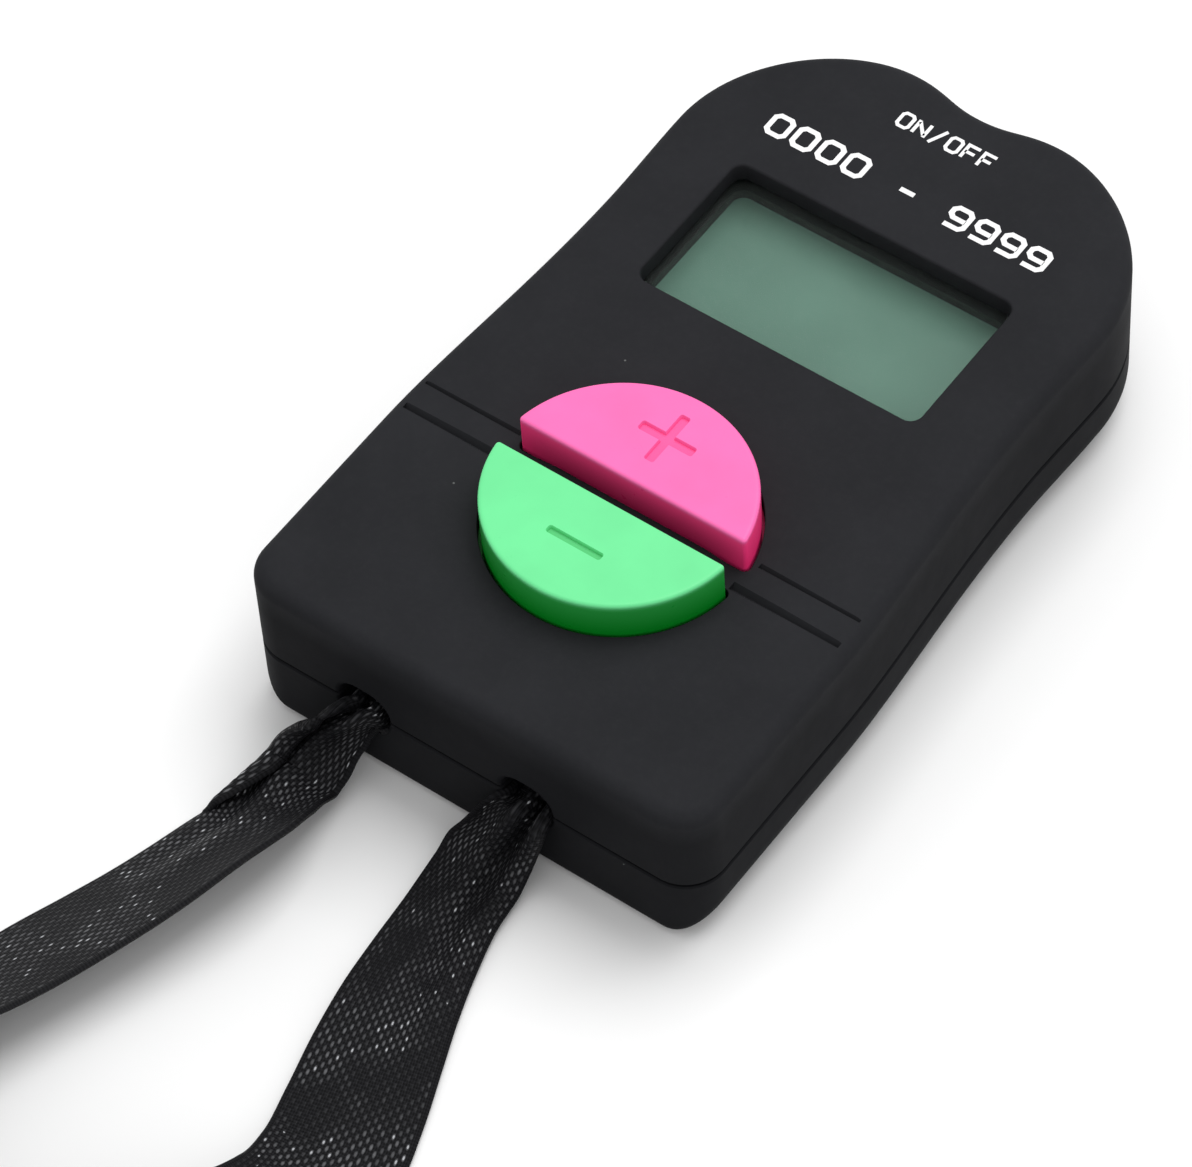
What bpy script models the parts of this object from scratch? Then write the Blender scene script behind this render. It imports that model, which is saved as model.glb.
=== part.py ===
"""Hand-held electronic counter with a neck ribbon, lying on its back.

X runs across the face, Y towards the notched head, Z up out of the face. The origin is
under the middle of the counter, on the surface that it lies on. Everything is in metres.
"""

import math

import bmesh
import bpy
import numpy as np

MM = 0.001

# Clearances
GAP = 0.3 * MM
SCREW_GAP = 0.3 * MM
CELL_GAP = 0.25 * MM
PRESSED_GAP = 0.1 * MM

# How far a cutting shape runs past what it cuts
OVERSHOOT = 1.0 * MM

# Body outline, half of it, from the notch at the head to the ribbon end
BODY_LENGTH = 66.15 * MM
HEAD_HALF_WIDTH = 19.05 * MM
WAIST_HALF_WIDTH = 18.8 * MM
HIP_HALF_WIDTH = 20.1 * MM
HEAD_TO_WIDEST = 13.175 * MM
HEAD_TO_WAIST = 22.675 * MM
END_TO_HIP = 17.475 * MM
CORNER_RADIUS = 3.3 * MM
LOBE_X = 6.4 * MM
NOTCH_DEPTH = 0.95 * MM

# Body depth, walls and edges
BODY_DEPTH = 14.7 * MM
SEAM_Z = 6.5 * MM
SEAM_GAP = 0.3 * MM
WALL = 1.7 * MM
FACE_THICKNESS = 1.6 * MM
FLOOR_THICKNESS = 1.6 * MM
LIP_THICKNESS = 0.7 * MM
LIP_HEIGHT = 1.0 * MM
FRONT_EDGE_RADIUS = 1.25 * MM
REAR_END_RADIUS = 1.1 * MM
REAR_SIDE_RADIUS = 3.9 * MM

# Display
WINDOW_WIDTH = 24.8 * MM
WINDOW_HEIGHT = 13.2 * MM
WINDOW_CORNER = 1.0 * MM
LENS_THICKNESS = 1.0 * MM
LENS_MARGIN = 1.6 * MM
LCD_WIDTH = 29.4 * MM
LCD_HEIGHT = 16.6 * MM
LCD_THICKNESS = 1.1 * MM
LCD_DEPTH = 3.9 * MM
HOLDER_WALL = 1.3 * MM
HOLDER_LIP = 1.2 * MM
REFLECTOR_THICKNESS = 0.2 * MM
CONNECTOR_WIDTH = 2.0 * MM
CONNECTOR_LENGTH = 24.0 * MM

# Of the spare length between the reset switch and the keys, the share above the display
DISPLAY_SHARE = 0.3866

# Counting keys
KEY_RADIUS = 10.05 * MM
END_TO_KEYS = 19.205 * MM
PLUS_EDGE_OFFSET = 1.38 * MM
MINUS_EDGE_OFFSET = 0.98 * MM
KEY_RISE = 3.25 * MM
KEY_EDGE_BEVEL = 0.3 * MM
KEY_FLANGE = 0.8 * MM
KEY_FLANGE_THICKNESS = 0.9 * MM
KEY_TRAVEL = 0.8 * MM
STEM_RADIUS = 2.2 * MM
STEM_LENGTH = 1.1 * MM
SIGN_LENGTH = 4.7 * MM
SIGN_WIDTH = 0.75 * MM
SIGN_DEPTH = 0.35 * MM
PLUS_SIGN_OFFSET = 5.87 * MM
MINUS_SIGN_OFFSET = 5.33 * MM
BAR_RISE = 0.35 * MM

# Grooves across the face beside the keys
UPPER_GROOVE_OFFSET = 2.27 * MM
UPPER_GROOVE_WIDTH = 0.35 * MM
UPPER_GROOVE_DEPTH = 0.3 * MM
LOWER_GROOVE_OFFSET = 0.18 * MM
LOWER_GROOVE_WIDTH = 0.6 * MM
LOWER_GROOVE_DEPTH = 0.45 * MM
GROOVE_END_MARGIN = 0.95 * MM

# Silicone domes and their contacts
DOME_TOP_RADIUS = 2.6 * MM
DOME_BASE_RADIUS = 4.2 * MM
DOME_WALL = 0.6 * MM
PILL_RADIUS = 1.5 * MM

# Circuit board and what it carries, with places measured from the middle of the keys
BOARD_THICKNESS = 0.8 * MM
BOARD_TOP_Z = 8.4 * MM
BOARD_HALF_WIDTH = 15.2 * MM
HEAD_TO_BOARD = 11.075 * MM
END_TO_BOARD = 10.475 * MM
BOARD_TONGUE_HALF = 8.0 * MM
HEAD_TO_TONGUE = 5.475 * MM
CHIP_RADIUS = 4.0 * MM
CHIP_HEIGHT = 1.1 * MM
CHIP_AT = (-4.5 * MM, 5.37 * MM)
CRYSTAL_RADIUS = 1.0 * MM
CRYSTAL_LENGTH = 6.0 * MM
CRYSTAL_AT = (6.5 * MM, 4.87 * MM)
SMALL_PART_SIZE = (1.6 * MM, 0.8 * MM, 0.8 * MM)
SMALL_PARTS = {
    "capacitor_1": (5.0 * MM, -1.13 * MM),
    "capacitor_2": (8.2 * MM, -1.13 * MM),
    "resistor_1": (5.0 * MM, -4.13 * MM),
    "resistor_2": (8.2 * MM, -4.13 * MM),
}

# Reset button and its switch
RESET_WIDTH = 6.8 * MM
RESET_HEIGHT = 3.0 * MM
RESET_Z = 10.5 * MM
RESET_PROUD = 0.7 * MM
RESET_FLANGE = 0.7 * MM
RESET_FLANGE_THICKNESS = 0.8 * MM
RESET_TRAVEL = 0.5 * MM
RESET_CORNER = 0.8 * MM
RESET_BEVEL = 0.3 * MM
PLUNGER_RADIUS = 0.9 * MM
PLUNGER_LENGTH = 1.8 * MM
SWITCH_WIDTH = 6.0 * MM
SWITCH_LENGTH = 3.5 * MM
SWITCH_HEIGHT = 3.3 * MM

# Button cell and its bay
CELL_RADIUS = 5.8 * MM
CELL_THICKNESS = 5.35 * MM
CELL_Y = 9.0 * MM
CRADLE_WALL = 1.0 * MM
CRADLE_TOP_Z = 6.2 * MM
CONTACT_THICKNESS = 0.2 * MM
CONTACT_WIDTH = 3.0 * MM
SIDE_CONTACT_THICKNESS = 0.3 * MM

# Battery cover
COVER_WIDTH = 15.0 * MM
COVER_LENGTH = 21.0 * MM
COVER_THICKNESS = 1.3 * MM
COVER_CORNER = 1.5 * MM
COVER_TAIL = 7.2 * MM
COVER_SCREW_INSET = 2.8 * MM
GRIP_RIDGES = 5
GRIP_WIDTH = 9.0 * MM
GRIP_STEP = 1.26 * MM
GRIP_GROOVE = 0.35 * MM
GRIP_INSET = 3.4 * MM
LEDGE_WIDTH = 1.7 * MM
LEDGE_THICKNESS = 1.0 * MM

# Screws, bosses and posts
BOSS_RADIUS = 2.4 * MM
BOSS_JOINT_Z = 6.15 * MM
HEAD_BOSS_X = 10.9 * MM
HEAD_TO_BOSS = 8.175 * MM
END_BOSS_X = 14.6 * MM
END_TO_BOSS = 6.475 * MM
HOUSING_SCREW_RADIUS = 0.8 * MM
HOUSING_SCREW_HEAD = 1.5 * MM
HOUSING_HEAD_THICKNESS = 1.1 * MM
HOUSING_HEAD_Z = 1.0 * MM
HOUSING_SCREW_TIP_Z = 11.6 * MM
POST_RADIUS = 1.8 * MM
UPPER_POST_AT = (13.4 * MM, -1.2 * MM)
LOWER_POST_X = 13.0 * MM
END_TO_POST = 12.675 * MM
BOARD_SCREW_RADIUS = 0.7 * MM
BOARD_SCREW_HEAD = 1.4 * MM
BOARD_HEAD_THICKNESS = 0.8 * MM
BOARD_SCREW_GRIP = 2.9 * MM
COVER_HEAD_THICKNESS = 0.6 * MM
COVER_HEAD_SINK = 0.2 * MM
COVER_SCREW_LENGTH = 4.3 * MM

# Ribbon slots in the end wall, and the ribbon
SLOT_WIDTH = 4.5 * MM
LEFT_SLOT_X = -9.2 * MM
RIGHT_SLOT_X = 5.2 * MM
SLOT_REACH = 2.9 * MM
SLOT_BASE_Z = 2.0 * MM
SLOT_ABOVE_SEAM = 2.1 * MM
SLOT_CORNER = 1.8 * MM
RIBBON_WIDTH = 10.0 * MM
RIBBON_THICKNESS = 0.5 * MM
FOLDED_WIDTH = 4.8 * MM
FOLDED_THICKNESS = 1.5 * MM

# The hank that the unseen ribbon is folded into, standing on its edge
HANK_X = 6.0 * MM
HANK_Y = -136.0 * MM
HANK_RUN = 85.0 * MM
HANK_CENTRE_STEP = 9.0 * MM
HANK_STEP = 4.0 * MM
HANK_WAIST = 0.2
HANK_WAIST_REACH = 14.0 * MM
HANK_LIFT = 0.9 * MM
TURN_STEPS = 12
RUN_STEPS = 14
TIE_WIDTH = 5.0 * MM
TIE_THICKNESS = 0.5 * MM

# Routes of the two free stretches: x, y, clear height under the ribbon's lower edge,
# width, and how far it stands up from lying flat, in degrees
LEFT_ROUTE = [
    (-9.3 * MM, -33.75 * MM, 2.2 * MM, 4.2 * MM, 4),
    (-9.5 * MM, -34.9 * MM, 1.7 * MM, 4.8 * MM, 10),
    (-10.7 * MM, -36.9 * MM, 0.8 * MM, 7.2 * MM, 20),
    (-11.5 * MM, -39.6 * MM, 0.3 * MM, 9.2 * MM, 31),
    (-11.6 * MM, -43.0 * MM, 0.1 * MM, 10.0 * MM, 34),
    (-12.5 * MM, -46.6 * MM, 0.1 * MM, 10.0 * MM, 33),
    (-13.9 * MM, -51.4 * MM, 0.1 * MM, 10.0 * MM, 31),
    (-15.7 * MM, -56.5 * MM, 0.1 * MM, 10.0 * MM, 29),
    (-17.6 * MM, -61.6 * MM, 0.1 * MM, 10.0 * MM, 28),
    (-19.4 * MM, -67.6 * MM, 0.1 * MM, 10.0 * MM, 33),
    (-19.8 * MM, -74.0 * MM, 0.1 * MM, 10.0 * MM, 48),
    (-17.9 * MM, -80.6 * MM, 0.1 * MM, 10.0 * MM, 70),
    (-14.3 * MM, -86.2 * MM, 0.1 * MM, 10.0 * MM, 86),
    (-11.6 * MM, -90.3 * MM, 0.1 * MM, 10.0 * MM, 90),
    (-11.0 * MM, -93.2 * MM, 0.1 * MM, 10.0 * MM, 90),
]
RIGHT_ROUTE = [
    (5.0 * MM, -33.7 * MM, 2.2 * MM, 4.4 * MM, -8),
    (4.3 * MM, -36.4 * MM, 1.1 * MM, 6.2 * MM, -8),
    (3.8 * MM, -40.5 * MM, 0.3 * MM, 6.8 * MM, -6),
    (4.5 * MM, -44.7 * MM, 0.1 * MM, 7.5 * MM, -4),
    (5.4 * MM, -48.7 * MM, 0.1 * MM, 8.4 * MM, -4),
    (6.6 * MM, -52.9 * MM, 0.1 * MM, 9.2 * MM, -4),
    (8.1 * MM, -57.6 * MM, 0.1 * MM, 9.8 * MM, -4),
    (9.4 * MM, -62.1 * MM, 0.1 * MM, 10.0 * MM, -8),
    (9.8 * MM, -66.8 * MM, 0.1 * MM, 10.0 * MM, -18),
    (8.2 * MM, -72.2 * MM, 0.1 * MM, 10.0 * MM, -34),
    (4.0 * MM, -77.0 * MM, 0.1 * MM, 10.0 * MM, -57),
    (-1.6 * MM, -81.5 * MM, 0.1 * MM, 10.0 * MM, -78),
    (-5.7 * MM, -86.8 * MM, 0.1 * MM, 10.0 * MM, -90),
    (-7.0 * MM, -93.2 * MM, 0.1 * MM, 10.0 * MM, -90),
]
ROUTE_STEPS = 3

# Places and levels that follow from the sizes above
FACE_Z = BODY_DEPTH
CEILING_Z = FACE_Z - FACE_THICKNESS
END_Y = -BODY_LENGTH / 2
LOBE_Y = BODY_LENGTH / 2
NOTCH_Y = LOBE_Y - NOTCH_DEPTH
HEAD_WIDEST_Y = LOBE_Y - HEAD_TO_WIDEST
WAIST_Y = LOBE_Y - HEAD_TO_WAIST
HIP_Y = END_Y + END_TO_HIP
KEY_CENTRE_Y = END_Y + END_TO_KEYS
PLUS_EDGE_Y = KEY_CENTRE_Y + PLUS_EDGE_OFFSET
MINUS_EDGE_Y = KEY_CENTRE_Y - MINUS_EDGE_OFFSET
PLUS_SIGN_Y = KEY_CENTRE_Y + PLUS_SIGN_OFFSET
MINUS_SIGN_Y = KEY_CENTRE_Y - MINUS_SIGN_OFFSET
UPPER_GROOVE_Y = KEY_CENTRE_Y + UPPER_GROOVE_OFFSET
LOWER_GROOVE_Y = KEY_CENTRE_Y - LOWER_GROOVE_OFFSET
BOARD_TOP_Y = LOBE_Y - HEAD_TO_BOARD
BOARD_TONGUE_Y = LOBE_Y - HEAD_TO_TONGUE
BOARD_END_Y = END_Y + END_TO_BOARD
HEAD_BOSS_AT = (HEAD_BOSS_X, LOBE_Y - HEAD_TO_BOSS)
END_BOSS_AT = (END_BOSS_X, END_Y + END_TO_BOSS)
LOWER_POST_AT = (LOWER_POST_X, END_Y + END_TO_POST)
RESET_FLANGE_Y = NOTCH_Y - WALL - GAP
PLUNGER_END_Y = RESET_FLANGE_Y - RESET_FLANGE_THICKNESS - GAP
SWITCH_FACE_Y = PLUNGER_END_Y - PLUNGER_LENGTH / 2 - GAP / 2
HOLDER_HALF_HEIGHT = LCD_HEIGHT / 2 + GAP + HOLDER_WALL
DISPLAY_TOP_LIMIT = SWITCH_FACE_Y - SWITCH_LENGTH
DISPLAY_END_LIMIT = KEY_CENTRE_Y + KEY_RADIUS + KEY_FLANGE
DISPLAY_SPARE = DISPLAY_TOP_LIMIT - DISPLAY_END_LIMIT - 2 * HOLDER_HALF_HEIGHT
WINDOW_Y = DISPLAY_TOP_LIMIT - HOLDER_HALF_HEIGHT - DISPLAY_SHARE * DISPLAY_SPARE
BOARD_BOTTOM_Z = BOARD_TOP_Z - BOARD_THICKNESS
ON_BOARD_Z = BOARD_TOP_Z + GAP
UNDER_BOARD_Z = BOARD_BOTTOM_Z - GAP
KEY_TOP_Z = FACE_Z + KEY_RISE
FLANGE_TOP_Z = CEILING_Z - GAP
FLANGE_BOTTOM_Z = FLANGE_TOP_Z - KEY_FLANGE_THICKNESS
STEM_BOTTOM_Z = FLANGE_BOTTOM_Z - STEM_LENGTH
DOME_TOP_Z = STEM_BOTTOM_Z - GAP
LCD_TOP_Z = FACE_Z - LCD_DEPTH
LCD_BOTTOM_Z = LCD_TOP_Z - LCD_THICKNESS
LENS_TOP_Z = CEILING_Z - GAP
LENS_BOTTOM_Z = LENS_TOP_Z - LENS_THICKNESS
HOLDER_TOP_Z = LENS_BOTTOM_Z - GAP
LEDGE_BOTTOM_Z = COVER_THICKNESS + GAP
LEDGE_TOP_Z = LEDGE_BOTTOM_Z + LEDGE_THICKNESS
CELL_BOTTOM_Z = COVER_THICKNESS + CELL_GAP
CELL_TOP_Z = CELL_BOTTOM_Z + CELL_THICKNESS
COVER_END_Y = CELL_Y - CELL_RADIUS - COVER_TAIL
COVER_Y = COVER_END_Y + COVER_LENGTH / 2
COVER_SCREW_Y = COVER_END_Y + COVER_SCREW_INSET
COVER_SCREW_TIP_Z = COVER_HEAD_SINK + COVER_HEAD_THICKNESS + COVER_SCREW_LENGTH
BOARD_SCREW_TIP_Z = ON_BOARD_Z + BOARD_SCREW_GRIP
PILL_TOP_Z = DOME_TOP_Z - DOME_WALL - GAP
PILL_BOTTOM_Z = BOARD_TOP_Z + PRESSED_GAP + KEY_TRAVEL
RIBBON_TOP_Z = RIBBON_WIDTH + HANK_LIFT


def material(name, colour, roughness, metallic=0.0, alpha=1.0, transmission=0.0):
    made = bpy.data.materials.new(name)
    made.use_nodes = True
    shader = made.node_tree.nodes["Principled BSDF"]
    shader.inputs["Base Color"].default_value = (*colour, 1.0)
    shader.inputs["Roughness"].default_value = roughness
    shader.inputs["Metallic"].default_value = metallic
    shader.inputs["Alpha"].default_value = alpha
    shader.inputs["Transmission Weight"].default_value = transmission
    made.diffuse_color = (*colour, alpha)
    return made


def finish_object(name, mesh_data, look, origin=(0.0, 0.0, 0.0), helper=False):
    """An object from a bmesh in world coordinates, with its origin at the given point."""
    bmesh.ops.recalc_face_normals(mesh_data, faces=mesh_data.faces)
    bmesh.ops.translate(mesh_data, verts=mesh_data.verts, vec=[-value for value in origin])
    mesh = bpy.data.meshes.new(name)
    mesh_data.to_mesh(mesh)
    mesh_data.free()
    made = bpy.data.objects.new(name, mesh)
    made.location = origin
    bpy.context.scene.collection.objects.link(made)
    if helper:
        made.hide_render = True
        made.display_type = "WIRE"
    else:
        mesh.materials.append(look)
        mesh.shade_smooth()
        mesh.set_sharp_from_angle(angle=math.radians(35))
    return made


def add_loft(mesh_data, rings):
    """A closed surface through rings of equal length, capped at both ends."""
    rows = [[mesh_data.verts.new(point) for point in ring] for ring in rings]
    count = len(rows[0])
    for lower, upper in zip(rows, rows[1:]):
        for i in range(count):
            j = (i + 1) % count
            mesh_data.faces.new((lower[i], lower[j], upper[j], upper[i]))
    mesh_data.faces.new(rows[0][::-1])
    mesh_data.faces.new(rows[-1])


def add_prism(mesh_data, outline, low, high):
    add_loft(mesh_data, [[(x, y, z) for x, y in outline] for z in (low, high)])


def add_box(mesh_data, low, high):
    add_prism(mesh_data, rectangle(low[:2], high[:2]), low[2], high[2])


def add_cylinder(mesh_data, centre, radius, low, high, steps=20):
    add_prism(mesh_data, circle(centre, radius, steps), low, high)


def add_turned(mesh_data, centre, profile, steps=24):
    """A solid of revolution about a vertical axis, its profile going up as (radius, z)."""
    add_loft(mesh_data, [
        [(x, y, z) for x, y in circle(centre, radius, steps)] for radius, z in profile
    ])


def circle(centre, radius, steps):
    angles = [2 * math.pi * i / steps for i in range(steps)]
    return [(centre[0] + radius * math.cos(a), centre[1] + radius * math.sin(a)) for a in angles]


def rectangle(low, high):
    return [(low[0], low[1]), (high[0], low[1]), (high[0], high[1]), (low[0], high[1])]


def rounded_rectangle(centre, width, height, radius, steps=4):
    points = []
    for k, (sx, sy) in enumerate(((1, 1), (-1, 1), (-1, -1), (1, -1))):
        cx = centre[0] + sx * (width / 2 - radius)
        cy = centre[1] + sy * (height / 2 - radius)
        for i in range(steps + 1):
            angle = math.pi / 2 * (k + i / steps)
            points.append((cx + radius * math.cos(angle), cy + radius * math.sin(angle)))
    return points


def half_disc(edge_y, side, radius, steps=28):
    """The part of the key circle beyond the line at edge_y, on the side +1 or -1 of it."""
    start = math.asin(side * (edge_y - KEY_CENTRE_Y) / radius)
    angles = np.linspace(start, math.pi - start, steps + 1)
    return [
        (radius * math.cos(a), KEY_CENTRE_Y + side * radius * math.sin(a)) for a in angles
    ]


def bezier(start, first, second, end, steps):
    """Points along a cubic curve, without its last one."""
    made = []
    for i in range(steps):
        t = i / steps
        weights = ((1 - t) ** 3, 3 * t * (1 - t) ** 2, 3 * t * t * (1 - t), t ** 3)
        made.append(tuple(
            sum(w * p[k] for w, p in zip(weights, (start, first, second, end)))
            for k in range(2)
        ))
    return made


def body_outline():
    """The counter's outline seen from above: notch, lobe, head, waist, hip and corner."""
    head = (HEAD_HALF_WIDTH, HEAD_WIDEST_Y)
    waist = (WAIST_HALF_WIDTH, WAIST_Y)
    hip = (HIP_HALF_WIDTH, HIP_Y)
    lobe = (LOBE_X, LOBE_Y)
    neck = (HEAD_WIDEST_Y - WAIST_Y) / 3
    swell = (WAIST_Y - HIP_Y) * 0.4
    half = bezier((0, NOTCH_Y), (LOBE_X * 0.42, NOTCH_Y), (LOBE_X * 0.55, LOBE_Y), lobe, 7)
    half += bezier(
        lobe,
        (lobe[0] + (HEAD_HALF_WIDTH - LOBE_X) * 0.49, LOBE_Y),
        (HEAD_HALF_WIDTH, HEAD_WIDEST_Y + (LOBE_Y - HEAD_WIDEST_Y) * 0.53),
        head,
        12,
    )
    half += bezier(head, (head[0], head[1] - neck), (waist[0], waist[1] + neck), waist, 4)
    half += bezier(waist, (waist[0], waist[1] - swell), (hip[0], hip[1] + swell * 0.75), hip, 9)
    half.append(hip)
    for i in range(7):
        angle = math.pi / 2 * i / 6
        half.append((
            HIP_HALF_WIDTH - CORNER_RADIUS * (1 - math.cos(angle)),
            END_Y + CORNER_RADIUS * (1 - math.sin(angle)),
        ))
    half.append((0, END_Y))
    return half + [(-x, y) for x, y in half[-2:0:-1]]


def outline_normals(outline):
    points = np.array(outline)
    along = np.roll(points, -1, axis=0) - np.roll(points, 1, axis=0)
    outward = np.stack([-along[:, 1], along[:, 0]], axis=1)
    return outward / np.linalg.norm(outward, axis=1)[:, None]


OUTLINE = np.array(body_outline())
NORMALS = outline_normals(OUTLINE)


def ring(inset, z):
    """The body outline moved in by inset, at height z. Either may vary round the outline."""
    insets = np.broadcast_to(inset, len(OUTLINE))
    heights = np.broadcast_to(z, len(OUTLINE))
    flat = OUTLINE - NORMALS * insets[:, None]
    return [(x, y, h) for (x, y), h in zip(flat, heights)]


def edge_rings(radius, level, way, steps=4):
    """Rings round an outer edge, from the side wall to the face at level."""
    rings = []
    for i in range(steps + 1):
        angle = math.pi / 2 * i / steps
        rings.append(ring(
            radius * (1 - math.cos(angle)), level - way * radius * (1 - math.sin(angle))
        ))
    return rings


def boolean(target, other, operation):
    modifier = target.modifiers.new(other.name, "BOOLEAN")
    modifier.object = other
    modifier.operation = operation
    modifier.solver = "EXACT"


def mirrored(place):
    return [(place[0], place[1]), (-place[0], place[1])]


def key_wells(mesh_data, low, high):
    for edge, side in ((PLUS_EDGE_Y, 1), (MINUS_EDGE_Y, -1)):
        well = half_disc(edge - side * GAP, side, KEY_RADIUS + GAP)
        add_prism(mesh_data, well, low, high)


def groove_cutters(mesh_data):
    """V-shaped grooves from the keys to just short of the rounded side edges."""
    for y, width, depth in (
        (UPPER_GROOVE_Y, UPPER_GROOVE_WIDTH, UPPER_GROOVE_DEPTH),
        (LOWER_GROOVE_Y, LOWER_GROOVE_WIDTH, LOWER_GROOVE_DEPTH),
    ):
        inner = math.sqrt(KEY_RADIUS ** 2 - (y - KEY_CENTRE_Y) ** 2)
        outer = HIP_HALF_WIDTH - GROOVE_END_MARGIN
        for side in (1, -1):
            rings = []
            for x in (inner * side, outer * side):
                rings.append([
                    (x, y - width * 0.8, FACE_Z + depth * 0.6),
                    (x, y + width * 0.8, FACE_Z + depth * 0.6),
                    (x, y, FACE_Z - depth),
                ])
            add_loft(mesh_data, rings)


def slot_cutters(mesh_data):
    """The two rounded openings in the end wall, which cross the seam between the shells."""
    height = SEAM_Z + SLOT_ABOVE_SEAM - SLOT_BASE_Z
    for slot_x in (LEFT_SLOT_X, RIGHT_SLOT_X):
        mouth = rounded_rectangle(
            (slot_x, SLOT_BASE_Z + height / 2), SLOT_WIDTH, height, SLOT_CORNER
        )
        add_loft(mesh_data, [
            [(x, y, z) for x, z in mouth] for y in (END_Y - OVERSHOOT, END_Y + SLOT_REACH)
        ])


def front_housing(look):
    shell = bmesh.new()
    bottom = SEAM_Z + SEAM_GAP / 2
    rings = [ring(WALL, CEILING_Z), ring(WALL, bottom), ring(0, bottom)]
    add_loft(shell, rings + edge_rings(FRONT_EDGE_RADIUS, FACE_Z, 1))
    housing = finish_object("front_housing", shell, look)

    added = bmesh.new()
    top = CEILING_Z + FACE_THICKNESS / 3
    for place in mirrored(HEAD_BOSS_AT) + mirrored(END_BOSS_AT):
        add_cylinder(added, place, BOSS_RADIUS, BOSS_JOINT_Z + GAP / 2, top)
    for place in mirrored(UPPER_POST_AT) + mirrored(LOWER_POST_AT):
        add_cylinder(added, place, POST_RADIUS, ON_BOARD_Z, top, 16)
    bar_half = KEY_RADIUS - GAP
    add_box(
        added,
        (-bar_half, MINUS_EDGE_Y + GAP, FACE_Z - FACE_THICKNESS / 2),
        (bar_half, PLUS_EDGE_Y - GAP, FACE_Z + BAR_RISE),
    )
    boolean(housing, finish_object("front_additions", added, None, helper=True), "UNION")

    cut = bmesh.new()
    window = rounded_rectangle((0, WINDOW_Y), WINDOW_WIDTH, WINDOW_HEIGHT, WINDOW_CORNER)
    add_prism(cut, window, CEILING_Z - OVERSHOOT, FACE_Z + OVERSHOOT)
    key_wells(cut, CEILING_Z - OVERSHOOT, FACE_Z + OVERSHOOT)
    reset_half = RESET_WIDTH / 2 + GAP
    add_box(
        cut,
        (-reset_half, NOTCH_Y - WALL - OVERSHOOT, RESET_Z - RESET_HEIGHT / 2 - GAP),
        (reset_half, NOTCH_Y + OVERSHOOT, RESET_Z + RESET_HEIGHT / 2 + GAP),
    )
    for place in mirrored(HEAD_BOSS_AT) + mirrored(END_BOSS_AT):
        pilot = HOUSING_SCREW_RADIUS + SCREW_GAP
        add_cylinder(cut, place, pilot, BOSS_JOINT_Z - GAP, HOUSING_SCREW_TIP_Z + GAP, 12)
    for place in mirrored(UPPER_POST_AT) + mirrored(LOWER_POST_AT):
        pilot = BOARD_SCREW_RADIUS + SCREW_GAP
        add_cylinder(cut, place, pilot, BOARD_TOP_Z, BOARD_SCREW_TIP_Z + GAP, 12)
    slot_cutters(cut)
    boolean(housing, finish_object("front_cuts", cut, None, helper=True), "DIFFERENCE")

    grooves = bmesh.new()
    groove_cutters(grooves)
    boolean(housing, finish_object("groove_cuts", grooves, None, helper=True), "DIFFERENCE")


def cover_outline(clearance):
    return rounded_rectangle(
        (0, COVER_Y),
        COVER_WIDTH + 2 * clearance,
        COVER_LENGTH + 2 * clearance,
        COVER_CORNER + clearance,
    )


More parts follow.
